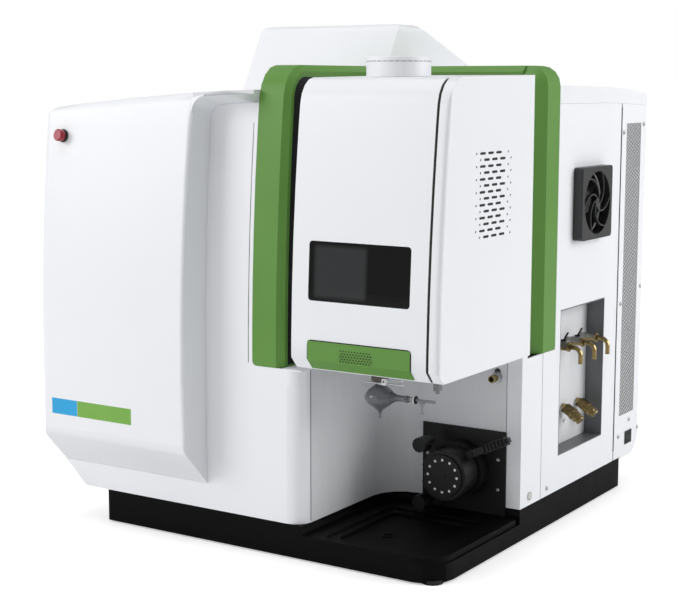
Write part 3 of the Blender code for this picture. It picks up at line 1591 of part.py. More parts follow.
def make_fan_body(centre):
    half = FAN_SIZE / 2
    front = -PANEL - FIT
    back = front - FAN_BODY
    shape = prism("X", rectangle(-half, -half, FAN_SIZE, FAN_SIZE, FAN_CORNER), back, front)
    shape = cut(shape, rod("X", (0, 0), FAN_BORE_RADIUS, back - OVERRUN, front + OVERRUN))
    arms = []
    for i in range(2):
        bar = box(
            (back, FAN_SPIDER - half, -FAN_SPIDER / 2),
            (back + FAN_SPIDER, half - FAN_SPIDER, FAN_SPIDER / 2),
        )
        arms.append(moved(bar, (0, 0, 0), (math.pi / 4 + math.pi / 2 * i, 0, 0)))
    hub = rod("X", (0, 0), FAN_HUB_RADIUS, back, back + FAN_SPIDER)
    pin = rod("X", (0, 0), FAN_SHAFT_RADIUS, back, front - FAN_SPIDER, SMALL_ROUND)
    place("fan_body", fuse(shape, *arms, hub, pin), "black", centre)


def make_fan_rotor(centre):
    """Hub with a bore on the stator's pin and pitched blades."""
    low = -PANEL - FIT - FAN_BODY + FAN_SPIDER + FIT
    high = -PANEL
    hub = cut(
        rod("X", (0, 0), FAN_HUB_RADIUS, low, high),
        rod("X", (0, 0), FAN_SHAFT_RADIUS + FIT, low - OVERRUN, high - FAN_SPIDER + FIT, SMALL_ROUND),
    )
    reach = FAN_BORE_RADIUS - FAN_TIP_GAP
    middle = (low + high) / 2
    chord = (high - low) * SHARE_OF_HALF
    blades = []
    for i in range(FAN_BLADES):
        blade = box(
            (-chord, -FAN_BLADE / 2, FAN_HUB_RADIUS - FAN_SPIDER / 2),
            (chord, FAN_BLADE / 2, reach - FAN_SPIDER / 2),
        )
        blade = moved(blade, (0, 0, 0), (0, 0, FAN_BLADE_PITCH))
        blades.append(moved(blade, (middle, 0, 0), (2 * math.pi * i / FAN_BLADES, 0, 0)))
    place("fan_rotor", fuse(hub, *blades), "black", centre)


# Torch box, door, window and handle


def torch_side(inset):
    """Side outline of the torch box: chin chamfer below, round brow above."""
    front = -TORCH_PROUD + inset
    return rounded(
        [
            (front + TORCH_CHAMFER_DEPTH, TORCH_BOTTOM + inset, 0),
            (TORCH_REAR - inset, TORCH_BOTTOM + inset, 0),
            (TORCH_REAR - inset, TORCH_TOP + TORCH_RISE - inset, 0),
            (front, TORCH_TOP - inset, TORCH_TOP_RADIUS - inset),
            (front, TORCH_BOTTOM + TORCH_CHAMFER_RISE, 0),
        ]
    )


def torch_solid(inset, left, right):
    plan = rounded(
        [
            (left, TORCH_REAR, 0),
            (left, -TORCH_PROUD, 0),
            (right, -TORCH_PROUD, TORCH_EDGE_RADIUS if right > 0 else 0),
            (right, TORCH_REAR, 0),
        ]
    )
    return common(
        prism("X", torch_side(inset), left, right),
        prism("Z", plan, 0, TORCH_TOP + OVERRUN),
    )


def vent_slots():
    """Slots of the cheek's vent in rows, every second row shifted by half a pitch."""
    right = VENT_RIGHT_X
    slots = []
    for row in range(VENT_ROWS):
        shift = VENT_PITCH_Y / 2 * (row % 2)
        z = VENT_TOP - VENT_PITCH_Z * row
        for column in range(VENT_COLUMNS):
            y = VENT_FIRST_Y + VENT_PITCH_Y * column + shift
            half = VENT_SLOT_HEIGHT / 2
            run = VENT_SLOT - VENT_SLOT_HEIGHT
            outline = arc_points((y + run, z), half, -math.pi / 2, math.pi / 2, VENT_END_STEPS)
            outline += arc_points((y, z), half, math.pi / 2, math.pi * 3 / 2, VENT_END_STEPS)
            slots.append(prism("X", outline, right - PANEL - OVERRUN, right + OVERRUN))
    return gathered(slots)


def make_torch_housing():
    right = TORCH_OVERHANG
    doorway = box(
        (TORCH_LEFT_X - OVERRUN, -TORCH_PROUD - OVERRUN, 0),
        (-DOOR_RIGHT + DOOR_SEAM, DOOR_SPLIT + DOOR_SPLIT_GAP, TORCH_TOP + OVERRUN),
    )
    hollow = torch_solid(PANEL, TORCH_LEFT_X + PANEL, right - PANEL)
    shape = leaned(cut(torch_solid(0, TORCH_LEFT_X, right), hollow, doorway))
    flue_radius = COLLAR_RADIUS - COLLAR_WALL
    flue = rod("Z", (-COLLAR_X, COLLAR_Y), flue_radius, TORCH_TOP - OVERRUN, TORCH_TOP + OVERRUN)
    low = TORCH_BOTTOM - OVERRUN
    high = TORCH_BOTTOM + OVERRUN
    neck = rod("Z", (-TORCH_X, TORCH_Y), MOUNT_NECK_RADIUS + FIT, low, high, SMALL_ROUND)
    shape = cut(shape, vent_slots(), flue, neck)
    place("torch_housing", fuse(shape, *hinge_arms()), "white")


def hinge_axis():
    """Low point of the door's hinge axis, and the axis' backward tilt along the leaning front."""
    depth = HINGE_SET_BACK - TORCH_PROUD
    low = leaned_y(depth, HINGE_LOW)
    high = leaned_y(depth, HINGE_HIGH)
    return (HINGE_X, low, HINGE_LOW), math.atan2(high - low, HINGE_HIGH - HINGE_LOW)


def on_hinge(shape, level):
    """Set a shape, drawn round the Z axis, on the hinge axis at a level."""
    spot, tilt = hinge_axis()
    along = (level - HINGE_LOW) / math.cos(tilt)
    return moved(moved(shape, (0, 0, along)), spot, (-tilt, 0, 0))


def hang(name, shape, finish):
    """Place a piece of the door with its origin on the hinge axis."""
    spot = hinge_axis()[0]
    place(name, moved(shape, [-value for value in spot]), finish, spot)


def make_torch_door():
    """Open-backed door; two tabs inside carry it on the hinge pins."""
    left = TORCH_LEFT_X
    right = -DOOR_RIGHT
    behind = box(
        (left - OVERRUN, DOOR_SPLIT, 0), (right + OVERRUN, TORCH_REAR + OVERRUN, TORCH_TOP + OVERRUN)
    )
    window = rectangle(-WINDOW_LEFT, WINDOW_BOTTOM, WINDOW_WIDTH, WINDOW_HEIGHT, WINDOW_RADIUS)
    glass_hole = prism("Y", window, -TORCH_PROUD - OVERRUN, -TORCH_PROUD + OVERRUN)
    hollow = torch_solid(PANEL, left + PANEL, right - PANEL)
    shape = leaned(cut(torch_solid(0, left, right), hollow, behind, glass_hole, handle_solid(FIT)))
    bmesh.ops.triangulate(shape, faces=shape.faces[:])
    half = HINGE_ARM_HEIGHT / 2
    wall = PANEL - HINGE_INSET
    front = PANEL - HINGE_SET_BACK - HINGE_TAB_SINK
    tabs = []
    notches = []
    for level in (HINGE_LOW, HINGE_HIGH):
        tab = box((wall + FIT, front, half + FIT), (HINGE_TAB_REACH, HINGE_TAB_BACK, half + FIT + HINGE_TAB))
        bore = rod("Z", (0, 0), HINGE_PIN_RADIUS + FIT, half, half + HINGE_TAB + OVERRUN, SMALL_ROUND)
        tabs.append(on_hinge(cut(tab, bore), level))
        notch = box(
            (-HINGE_INSET - OVERRUN, -HINGE_EYE_RADIUS - FIT, -half - FIT),
            (wall + FIT, HINGE_FOOT, half + FIT / 2),
        )
        notches.append(on_hinge(notch, level))
    hang("torch_door", fuse(cut(shape, *notches), *tabs), "white")


def handle_solid(grow):
    """Wedge of the handle over the door's chin, or its pocket when grown."""
    front = -TORCH_PROUD
    chin = TORCH_BOTTOM + TORCH_CHAMFER_RISE
    run = Vector((TORCH_CHAMFER_DEPTH, -TORCH_CHAMFER_RISE))
    length = run.length - HANDLE_RADIUS
    along = run.normalized()
    out = Vector((along.y, -along.x))
    proud = HANDLE_PROUD
    sink = HANDLE_SINK + grow
    chin_point = Vector((front, chin))
    outer_chin = chin_point + Vector((-proud, 0)) + Vector((0, -proud * SHARE_OF_HALF))
    tip = chin_point + along * (length + grow)
    outline = [
        (front - proud, HANDLE_TOP + grow),
        tuple(outer_chin),
        tuple(tip + out * proud),
        tuple(tip - out * sink),
        (front + sink, chin + sink * SHARE_OF_HALF),
        (front + sink, HANDLE_TOP + grow),
    ]
    left = -HANDLE_LEFT - grow
    return prism("X", outline, left, left + HANDLE_WIDTH + 2 * grow)


def make_door_parts():
    left = -WINDOW_LEFT + FIT
    bottom = WINDOW_BOTTOM + FIT
    width = WINDOW_WIDTH - 2 * FIT
    glass = rectangle(left, bottom, width, WINDOW_HEIGHT - 2 * FIT, WINDOW_RADIUS)
    pane = prism("Y", glass, -TORCH_PROUD + WINDOW_SET_BACK, -TORCH_PROUD + PANEL)
    hang("door_window", leaned(pane), "smoked_glass")
    hang("door_handle", leaned(handle_solid(0)), "green")


def hinge_arms():
    """Solids of two arms from the housing's left wall, each with an eye and a standing pin."""
    inner = PANEL + FIT - HINGE_INSET
    half = HINGE_ARM_HEIGHT / 2
    back = HINGE_FOOT + HINGE_FOOT_DEPTH
    arms = []
    for level in (HINGE_LOW, HINGE_HIGH):
        arm = box((inner, 0, -half), (inner + HINGE_ARM_WIDTH, back, half))
        foot = box((inner - PANEL / 2, HINGE_FOOT, -half), (inner + HINGE_ARM_WIDTH, back, half))
        eye = rod("Z", (0, 0), HINGE_EYE_RADIUS, -half, half, SMALL_ROUND)
        top = half + HINGE_TAB + HINGE_PIN_RADIUS
        pin = rod("Z", (0, 0), HINGE_PIN_RADIUS, 0, top, SMALL_ROUND)
        arms.append(on_hinge(fuse(arm, foot, eye, pin), level))
    return arms


def roof_line():
    """Ends of the torch box's flat top, front and rear, as (y, z) after the lean."""
    corner = Vector((-TORCH_PROUD, TORCH_TOP))
    rear = Vector((TORCH_REAR, TORCH_TOP + TORCH_RISE))
    along = (rear - corner).normalized()
    half = (math.pi / 2 + math.asin(along.y)) / 2
    start = corner + along * (TORCH_TOP_RADIUS / math.tan(half))
    return (leaned_y(start.x, start.y), start.y), tuple(rear)


def make_collar():
    """Exhaust collar, its foot cut to the slope of the torch box's top."""
    inner = COLLAR_RADIUS - COLLAR_WALL
    outline = [
        (inner, TORCH_TOP - OVERRUN),
        (COLLAR_RADIUS, TORCH_TOP - OVERRUN),
        (COLLAR_RADIUS, COLLAR_TOP - COLLAR_LIP),
        (COLLAR_RADIUS - COLLAR_LIP / 2, COLLAR_TOP),
        (inner, COLLAR_TOP),
    ]
    shape = moved(turned(outline), (-COLLAR_X, COLLAR_Y, 0))
    front, rear = roof_line()
    below = [
        (front[0], front[1] + FIT),
        (rear[0], rear[1] + FIT),
        (rear[0], TORCH_TOP - 2 * OVERRUN),
        (front[0], TORCH_TOP - 2 * OVERRUN),
    ]
    reach = COLLAR_RADIUS + OVERRUN
    shape = cut(shape, prism("X", below, -COLLAR_X - reach, -COLLAR_X + reach))
    place("exhaust_collar", moved(shape, (COLLAR_X, -COLLAR_Y, 0)), "white", (-COLLAR_X, COLLAR_Y, 0))


# Torch and what stands round it


def make_torch():
    """Quartz torch: outer tube, floor and injector tube, one glass piece."""
    low = TORCH_TUBE_BOTTOM
    high = low + TORCH_TUBE_LENGTH
    wall = TORCH_TUBE_WALL
    profile = [
        (TORCH_TUBE_RADIUS, low),
        (TORCH_TUBE_RADIUS, high),
        (TORCH_TUBE_RADIUS - wall, high),
        (TORCH_TUBE_RADIUS - wall, low + 2 * wall),
        (INJECTOR_RADIUS, low + 2 * wall),
        (INJECTOR_RADIUS, high - INJECTOR_DROP),
        (INJECTOR_RADIUS - wall, high - INJECTOR_DROP),
        (INJECTOR_RADIUS - wall, low),
    ]
    place("quartz_torch", turned(profile, SMALL_ROUND), "quartz", (-TORCH_X, TORCH_Y, 0))


def make_torch_mount():
    """Torch cassette: a neck through the floor, a round holder and an arm to the back wall."""
    floor = TORCH_BOTTOM + PANEL + FIT
    top = TORCH_TUBE_BOTTOM - FIT
    centre = (-TORCH_X, TORCH_Y)
    low = CHAMBER_NECK_TOP - CLAMP_HEIGHT
    neck = rod("Z", centre, MOUNT_NECK_RADIUS, low, floor + MOUNT_COLLAR_HEIGHT, SMALL_ROUND)
    clamp = box(
        (-TORCH_X - CLAMP_LEFT, TORCH_Y - CLAMP_WIDTH / 2, low),
        (-TORCH_X + CLAMP_RIGHT, TORCH_Y + CLAMP_WIDTH / 2, low + CLAMP_HEIGHT),
    )
    socket = rod("Z", centre, CHAMBER_NECK_RADIUS + FIT, 0, CHAMBER_NECK_TOP + FIT, SMALL_ROUND)
    block = rod("Z", centre, MOUNT_RADIUS, floor, floor + MOUNT_COLLAR_HEIGHT)
    stem = rod("Z", centre, MOUNT_NECK_RADIUS, floor, top, SMALL_ROUND)
    arm = box(
        (-TORCH_X - MOUNT_ARM_DEPTH / 2, TORCH_Y, floor),
        (-TORCH_X + MOUNT_ARM_DEPTH / 2, TORCH_REAR - PANEL - FIT, floor + MOUNT_ARM_HEIGHT),
    )
    bore = rod("Z", centre, CHAMBER_STEM_RADIUS, 0, TORCH_TOP, SMALL_ROUND)
    place("torch_mount", cut(fuse(neck, clamp, block, stem, arm), bore, socket), "aluminium")


def make_coil_plates():
    """Two flat work-coil plates round the torch on one post that runs to the back wall."""
    half = COIL_WIDTH / 2
    front = TORCH_Y - COIL_FRONT
    back = TORCH_REAR - PANEL - FIT
    shape = None
    for level in (COIL_BOTTOM, COIL_BOTTOM + COIL_GAP + COIL_PLATE):
        plate = box(
            (-TORCH_X - half, front, level), (-TORCH_X + half, TORCH_Y + COIL_WIDTH, level + COIL_PLATE)
        )
        shape = fuse(shape, plate) if shape else plate
    post = box(
        (-TORCH_X - COIL_POST, TORCH_Y + half + COIL_POST, COIL_BOTTOM - COIL_POST / 2),
        (-TORCH_X + COIL_POST, back, COIL_BOTTOM + COIL_GAP + 2 * COIL_PLATE + COIL_POST / 2),
    )
    high = COIL_BOTTOM + COIL_GAP + 2 * OVERRUN
    bore = rod("Z", (-TORCH_X, TORCH_Y), COIL_BORE, COIL_BOTTOM - OVERRUN, high)
    slit = box(
        (-TORCH_X - COIL_PLATE, front - OVERRUN, COIL_BOTTOM - OVERRUN),
        (-TORCH_X + COIL_PLATE, TORCH_Y, high),
    )
    place("coil_plates", cut(fuse(shape, post), bore, slit), "aluminium")


def make_interface():
    """Viewing cone on the left wall, pointing at the plasma."""
    wall = TORCH_LEFT_X + PANEL + FIT
    profile = [
        (INTERFACE_BORE, 0),
        (INTERFACE_RADIUS, 0),
        (INTERFACE_RADIUS, INTERFACE_LENGTH - INTERFACE_CONE),
        (INTERFACE_TIP_RADIUS, INTERFACE_LENGTH),
        (INTERFACE_BORE, INTERFACE_LENGTH),
    ]
    shape = moved(turned(profile, SMALL_ROUND), (0, 0, 0), (0, math.pi / 2, 0))
    place("viewing_cone", shape, "brass", (wall, TORCH_Y, INTERFACE_Z))


# Sample introduction


def make_spray_chamber():
    """Double-cone glass chamber with a neck, a drain stem and a side arm, turned and joined."""
    h = CHAMBER_HALF_HEIGHT
    r = CHAMBER_RADIUS
    half = [(share, height) for share, height in CHAMBER_SHARES]
    upper = [(r * a, h * b) for a, b in half]
    lower = [(r * a, -h * b) for a, b in half[::-1][1:]]
    neck_top = CHAMBER_NECK_TOP - CHAMBER_Z
    stem_low = CHAMBER_STEM_BOTTOM - CHAMBER_Z
    profile = (
        [(0, neck_top), (CHAMBER_NECK_RADIUS, neck_top), (CHAMBER_NECK_RADIUS, h)]
        + upper
        + lower
        + [(CHAMBER_STEM_RADIUS, -h), (CHAMBER_STEM_RADIUS, stem_low), (0, stem_low)]
    )
    centre = (0, CHAMBER_ARM_RISE)
    arm = rod("X", centre, CHAMBER_ARM_RADIUS, CHAMBER_ARM_START, CHAMBER_ARM_END, SMALL_ROUND)
    low = CHAMBER_ARM_END - CHAMBER_ARM_START
    socket = rod("X", centre, NEBULIZER_RADIUS + FIT, low, CHAMBER_ARM_END + OVERRUN, SMALL_ROUND)
    shape = cut(fuse(turned(profile, CHAMBER_SIDES), arm), socket)
    place("spray_chamber", shape, "glass", (-TORCH_X, TORCH_Y, CHAMBER_Z))


def make_nebulizer():
    """Nebulizer tube in the side arm, with a cap, a tee and a gas cone below."""
    start = CHAMBER_ARM_END - NEBULIZER_CAP
    end = CHAMBER_ARM_END + NEBULIZER_LENGTH
    tube_part = rod("X", (0, 0), NEBULIZER_RADIUS, start, end, SMALL_ROUND)
    cap_start = CHAMBER_ARM_END + FIT
    cap = rod("X", (0, 0), NEBULIZER_CAP_RADIUS, cap_start, cap_start + NEBULIZER_CAP, SMALL_ROUND)
    tee = CHAMBER_ARM_END + NEBULIZER_TEE
    stem = rod("Z", (tee, 0), NEBULIZER_RADIUS, -NEBULIZER_TEE_DROP, 0, SMALL_ROUND)
    cone = turned(
        [
            (0, 0),
            (NEBULIZER_CONE_RADIUS, 0),
            (NEBULIZER_RADIUS, -NEBULIZER_CONE),
            (0, -NEBULIZER_CONE),
        ],
        SMALL_ROUND,
    )
    cone = moved(cone, (tee, 0, 0))
    spot = (-TORCH_X, TORCH_Y, CHAMBER_Z + CHAMBER_ARM_RISE)
    place("nebulizer", fuse(tube_part, cap, stem, cone), "glass", spot)


def make_bay_fittings():
    """Connector that hangs under the torch box, and the gas port of the bay's back wall."""
    half = PROBE_SIZE / 2
    low = TORCH_BOTTOM - PROBE_DROP
    probe = fuse(
        box((-half, -half, low), (half, half, TORCH_BOTTOM - FIT)),
        box((-half / 2, -half / 2, low - half), (half / 2, half / 2, TORCH_BOTTOM - half)),
    )
    place("bay_connector", probe, "grey", (-PROBE_X, PROBE_Y, 0))
    profile = [
        (PORT_BORE, 0),
        (PORT_RADIUS - FIT, 0),
        (PORT_RADIUS - FIT, PANEL + FIT),
        (PORT_FLANGE_RADIUS, PANEL + FIT),
        (PORT_FLANGE_RADIUS, PANEL + PORT_FLANGE),
        (PORT_RADIUS - FIT, PANEL + PORT_FLANGE),
        (PORT_RADIUS - FIT, PORT_LENGTH),
        (PORT_BORE, PORT_LENGTH),
    ]
    stub = moved(turned(profile, SMALL_ROUND), (0, 0, 0), (math.pi / 2, 0, 0))
    spot = (0, -PORT_LENGTH)
    nut = rod("Z", spot, PORT_NUT_RADIUS, -PORT_NUT_DROP, PORT_NUT_RISE, HEX_SIDES)
    tail = rod("Z", spot, PORT_TAIL_RADIUS, -PORT_TAIL_DROP, PORT_NUT_RISE / 2, SMALL_ROUND)
    place("bay_gas_port", fuse(stub, nut, tail), "brass", (-PORT_X, BAY_DEPTH + PANEL, PORT_Z))


# Peristaltic pump


def make_pump():
    face = BAY_DEPTH - FIT
    plate = box(
        (-PLATE_LEFT, face - PANEL + FIT, TRAY_LEDGE + FIT), (-PLATE_LEFT + PLATE_WIDTH, face, PLATE_TOP)
    )
    hole = rod("Y", (-PUMP_X, PUMP_Z), MOTOR_RADIUS + FIT, BAY_DEPTH - OVERRUN, BAY_DEPTH + OVERRUN)
    place("pump_plate", cut(plate, hole), "black")
    front_of_plate = face - PANEL
    make_pump_body(front_of_plate)
    make_pump_rotor()
    make_pump_knobs()
    make_pump_lever()


def make_pump_body(back):
    """Gearbox flange, neck, the horseshoe that backs the rollers and the motor behind the wall."""
    centre = (0, 0)
    flange = rod("Y", centre, PUMP_FLANGE_RADIUS, back - PUMP_FLANGE_DEPTH, back - FIT)
    neck = rod("Y", centre, PUMP_BODY_RADIUS, PUMP_BODY_FRONT, back - FIT)
    rotor_back = PUMP_FACE_Y + ROTOR_DISC
    ring = cut(
        rod("Y", centre, HEAD_OUTER_RADIUS, rotor_back - ROTOR_DISC / 2, PUMP_BODY_FRONT + FIT),
        rod("Y", centre, HEAD_OUTER_RADIUS - HEAD_WALL, 0, PUMP_BODY_FRONT),
    )
    opening = box(
        (-PUMP_FLANGE_RADIUS, 0, -HEAD_OUTER_RADIUS * HEAD_OPENING_SHARE),
        (0, PUMP_BODY_FRONT, HEAD_OUTER_RADIUS * HEAD_OPENING_SHARE),
    )
    ears = [knob_ear(z) for z in (KNOB_UPPER_Z, KNOB_LOWER_Z)]
    lever_ear = lever_mount()
    shaft_hole = rod("Y", centre, SHAFT_RADIUS + FIT, 0, back, SMALL_ROUND)
    motor = rod("Y", centre, MOTOR_RADIUS, back - PUMP_FLANGE_DEPTH, back + MOTOR_LENGTH)
    motor_end = back + MOTOR_LENGTH
    end_cap = rod("Y", centre, MOTOR_END_RADIUS, motor_end - FIT, motor_end + MOTOR_END, SMALL_ROUND)
    shape = fuse(flange, neck, cut(ring, opening), *ears, lever_ear, motor, end_cap)
    place("pump_body", cut(shape, shaft_hole), "black", (-PUMP_X, 0, PUMP_Z))


def knob_ear(level):
    """Arm from the pump's neck out to a knob's stem."""
    x = PUMP_X - KNOB_X
    z = level - PUMP_Z
    back = PUMP_BODY_FRONT + KNOB_DEPTH
    ear = rod("Y", (x, z), KNOB_EAR_RADIUS, PUMP_BODY_FRONT, back, SMALL_ROUND)
    side = Vector((-z, x)).normalized() * (KNOB_WEB_WIDTH / 2)
    web = [
        (x + side.x, z + side.y),
        (x - side.x, z - side.y),
        (x * SHARE_OF_HALF - side.x, z * SHARE_OF_HALF - side.y),
        (x * SHARE_OF_HALF + side.x, z * SHARE_OF_HALF + side.y),
    ]
    tip = PUMP_FACE_Y + KNOB_DEPTH / 2
    stem = rod("Y", (x, z), KNOB_STEM_RADIUS, tip, PUMP_BODY_FRONT + KNOB_DEPTH / 2, SMALL_ROUND)
    return fuse(ear, prism("Y", web, PUMP_BODY_FRONT, back), stem)


def lever_mount():
    """Boss on the neck with the lever's pin."""
    x = PUMP_X - LEVER_X
    z = LEVER_Z - PUMP_Z
    back = LEVER_Y + LEVER_DEPTH / 2
    boss = rod("Y", (x, z), LEVER_EYE_RADIUS, back + FIT, back + FIT + LEVER_DEPTH, SMALL_ROUND)
    front = LEVER_Y - LEVER_DEPTH / 2
    pin = rod("Y", (x, z), LEVER_PIN_RADIUS, front, back + LEVER_DEPTH / 2, SMALL_ROUND)
    return fuse(boss, pin)


def make_pump_rotor():
    """Front disc with its ring of roller ends, the rollers behind it and the drive shaft."""
    disc = rod("Y", (0, 0), ROTOR_RADIUS, 0, ROTOR_DISC)
    hub = rod("Y", (0, 0), ROTOR_HUB_RADIUS, -ROLLER_PROUD, ROTOR_DISC, SMALL_ROUND)
    depth = PUMP_BODY_FRONT - PUMP_FACE_Y
    shaft = rod("Y", (0, 0), SHAFT_RADIUS, ROTOR_DISC / 2, depth + OVERRUN, SMALL_ROUND)
    rollers = []
    for i in range(ROLLER_COUNT):
        angle = 2 * math.pi * i / ROLLER_COUNT
        spot = (ROLLER_CIRCLE * math.cos(angle), ROLLER_CIRCLE * math.sin(angle))
        rollers.append(
            rod("Y", spot, ROLLER_RADIUS, -ROLLER_PROUD, depth - ROLLER_END_GAP, ROLLER_SIDES)
        )
    shape = fuse(disc, hub, shaft, *rollers)
    place("pump_rotor", shape, "black", (-PUMP_X, PUMP_FACE_Y, PUMP_Z))


def make_pump_knobs():
    """Tube tension knobs with scalloped rims."""
    for name, level in (("upper", KNOB_UPPER_Z), ("lower", KNOB_LOWER_Z)):
        outline = []
        for i in range(KNOB_SCALLOPS):
            radius = KNOB_RADIUS - KNOB_SCALLOP * (i % 2)
            angle = 2 * math.pi * i / KNOB_SCALLOPS
            outline.append((radius * math.cos(angle), radius * math.sin(angle)))
        depth = PUMP_BODY_FRONT - PUMP_FACE_Y - KNOB_GAP
        knob = prism("Y", outline, 0, depth)
        floor = KNOB_DEPTH / 2 - FIT
        bore = rod("Y", (0, 0), KNOB_STEM_RADIUS + FIT, floor, depth + OVERRUN, SMALL_ROUND)
        place("pump_knob_" + name, cut(knob, bore), "black", (-KNOB_X, PUMP_FACE_Y, level))


def make_pump_lever():
    """Ribbed tension lever on its pin, rising to the right."""
    half = LEVER_DEPTH / 2
    eye = rod("Y", (0, 0), LEVER_EYE_RADIUS, -half, half, SMALL_ROUND)
    arm = prism(
        "Y",
        [
            (0, -LEVER_HEIGHT / 2),
            (LEVER_LENGTH, -LEVER_TIP_HEIGHT / 2),
            (LEVER_LENGTH, LEVER_TIP_HEIGHT / 2),
            (0, LEVER_HEIGHT / 2),
        ],
        -LEVER_BLADE_DEPTH / 2,
        LEVER_BLADE_DEPTH / 2,
    )
    ribs = []
    for i in range(LEVER_RIBS):
        x = LEVER_LENGTH - LEVER_RIB_PITCH * (i + 1)
        high = LEVER_HEIGHT * SHARE_OF_HALF + LEVER_RIB / 2
        ribs.append(box((x, -half, -high), (x + LEVER_RIB, half, high)))
    shape = moved(fuse(eye, arm, *ribs), (0, 0, 0), (0, -LEVER_ANGLE, 0))
    bore = rod("Y", (0, 0), LEVER_PIN_RADIUS + FIT, -OVERRUN, OVERRUN, SMALL_ROUND)
    place("pump_lever", cut(shape, bore), "black", (-LEVER_X, LEVER_Y, LEVER_Z))


# Button and lock


def button_face():
    """Front plane of the cover at the button."""
    return leaned_y(-COVER_PROUD, BUTTON_Z)


def make_button():
    face = button_face()
    rise = leaned_y(-COVER_PROUD, BUTTON_Z + BUTTON_RADIUS) - leaned_y(-COVER_PROUD, BUTTON_Z - BUTTON_RADIUS)
    tilt = (-math.atan(rise / (2 * BUTTON_RADIUS)), 0, 0)
    centre = (-BUTTON_X, face, BUTTON_Z)
    bezel = cut(
        rod("Y", (0, 0), BUTTON_BEZEL_RADIUS, -BUTTON_BEZEL - FIT * 2, -FIT * 2),
        rod("Y", (0, 0), BUTTON_STEM_RADIUS + FIT, -OVERRUN, OVERRUN, SMALL_ROUND),
    )
    place("button_bezel", bezel, "dark_grey", centre, tilt)
    back = -BUTTON_BEZEL - FIT * 2 - BUTTON_TRAVEL - FIT
    profile = [
        (0, 0),
        (BUTTON_RADIUS, 0),
        (BUTTON_RADIUS, BUTTON_HEIGHT - BUTTON_TRAVEL / 2),
        (BUTTON_RADIUS - BUTTON_TRAVEL / 2, BUTTON_HEIGHT),
        (0, BUTTON_HEIGHT),
    ]
    cap = moved(turned(profile), (0, back, 0), (math.pi / 2, 0, 0))
    stem = rod("Y", (0, 0), BUTTON_STEM_RADIUS - FIT, back - FIT, back + BUTTON_STEM, SMALL_ROUND)
    place("emergency_button", fuse(cap, stem), "red", centre, tilt)


def make_lock():
    """Quarter-turn lock of the column cover: a ring head with a slot and a barrel."""
    head = rod("X", (0, 0), LOCK_RADIUS, FIT, FIT + LOCK_PROUD, SMALL_ROUND)
    barrel = rod("X", (0, 0), LOCK_BARREL_RADIUS, -LOCK_BARREL, FIT + LOCK_PROUD / 2, SMALL_ROUND)
    slot = box(
        (FIT + LOCK_PROUD - LOCK_SLOT_DEPTH, -LOCK_SLOT / 2, -LOCK_BARREL_RADIUS),
        (OVERRUN, LOCK_SLOT / 2, LOCK_BARREL_RADIUS),
    )
    place("column_lock", cut(fuse(head, barrel), slot), "steel", (0, LOCK_Y, LOCK_Z))


# Units inside the housing


def make_inner_units():
    deck = BODY_BOTTOM
    low = (-OPTICS_LEFT + OPTICS_FLANGE, OPTICS_FRONT + OPTICS_FLANGE, deck)
    back = OPTICS_FRONT + OPTICS_DEPTH
    seam = deck + OPTICS_HEIGHT - OPTICS_FLANGE_DROP
    tank = box(low, (-OPTICS_RIGHT - OPTICS_FLANGE, back - OPTICS_FLANGE, deck + OPTICS_HEIGHT))
    flange = box(
        (-OPTICS_LEFT, OPTICS_FRONT, seam), (-OPTICS_RIGHT, back, seam + OPTICS_FLANGE_HEIGHT)
    )
    place("optics_chamber", fuse(tank, flange), "aluminium")
    supply = box(
        (-UNIT_LEFT - UNIT_STEP, UNIT_FRONT, deck),
        (-UNIT_RIGHT, UNIT_FRONT + UNIT_DEPTH, deck + SUPPLY_HEIGHT),
    )
    base = deck + SUPPLY_HEIGHT - FIT
    top = base + GENERATOR_HEIGHT
    body = box((-UNIT_LEFT, UNIT_FRONT, base), (-UNIT_RIGHT, UNIT_FRONT + UNIT_DEPTH, top - FIN_HEIGHT))
    width = UNIT_LEFT - UNIT_RIGHT
    pitch = width / FIN_COUNT
    fins = []
    for i in range(FIN_COUNT):
        x = -UNIT_LEFT + pitch * (i + (1 - FIN_SHARE) / 2)
        fins.append(
            box(
                (x, UNIT_FRONT + FIN_HEIGHT, top - 2 * FIN_HEIGHT),
                (x + pitch * FIN_SHARE, UNIT_FRONT + UNIT_DEPTH - FIN_HEIGHT, top),
            )
        )
    place("rf_generator", fuse(supply, body, gathered(fins)), "aluminium")


CHAMBER_SHARES = [
    (0.24, 0.98),
    (0.38, 0.80),
    (0.62, 0.58),
    (0.86, 0.36),
    (0.97, 0.18),
    (1.0, 0.0),
]


def build():
    clear_scene()
    root = bpy.data.objects.new("machine", None)
    bpy.context.scene.collection.objects.link(root)
    root.location = (ORIGIN_X, ORIGIN_Y, 0)
    make_plinth()
    make_feet()
    make_tray()
    make_optics_cover()
    make_front_bezel()
    make_left_side_panel()
    make_bay_liner()
    make_column()
    make_torch_niche()
    make_left_band()
    make_rear_band()
    make_right_band()
    make_lid()
    make_hood()
    make_rear_cover()
    make_power_inlet()
    make_side_panel()
    make_rear_side_panel()
    make_side_vent()
    make_service_recess()
    make_elbow_fittings()
    make_push_fittings()
    make_switch()
    make_fan()
    make_torch_housing()
    make_torch_door()
    make_door_parts()
    make_collar()
    make_torch()
    make_torch_mount()
    make_coil_plates()
    make_interface()
    make_spray_chamber()
    make_nebulizer()
    make_bay_fittings()
    make_pump()
    make_button()
    make_lock()
    make_inner_units()
    bpy.context.view_layer.update()


build()
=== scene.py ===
"""Bench-top plasma spectrometer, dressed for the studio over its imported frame, in metres."""

import json
import math

import bmesh
import bpy
from mathutils import Matrix, Vector


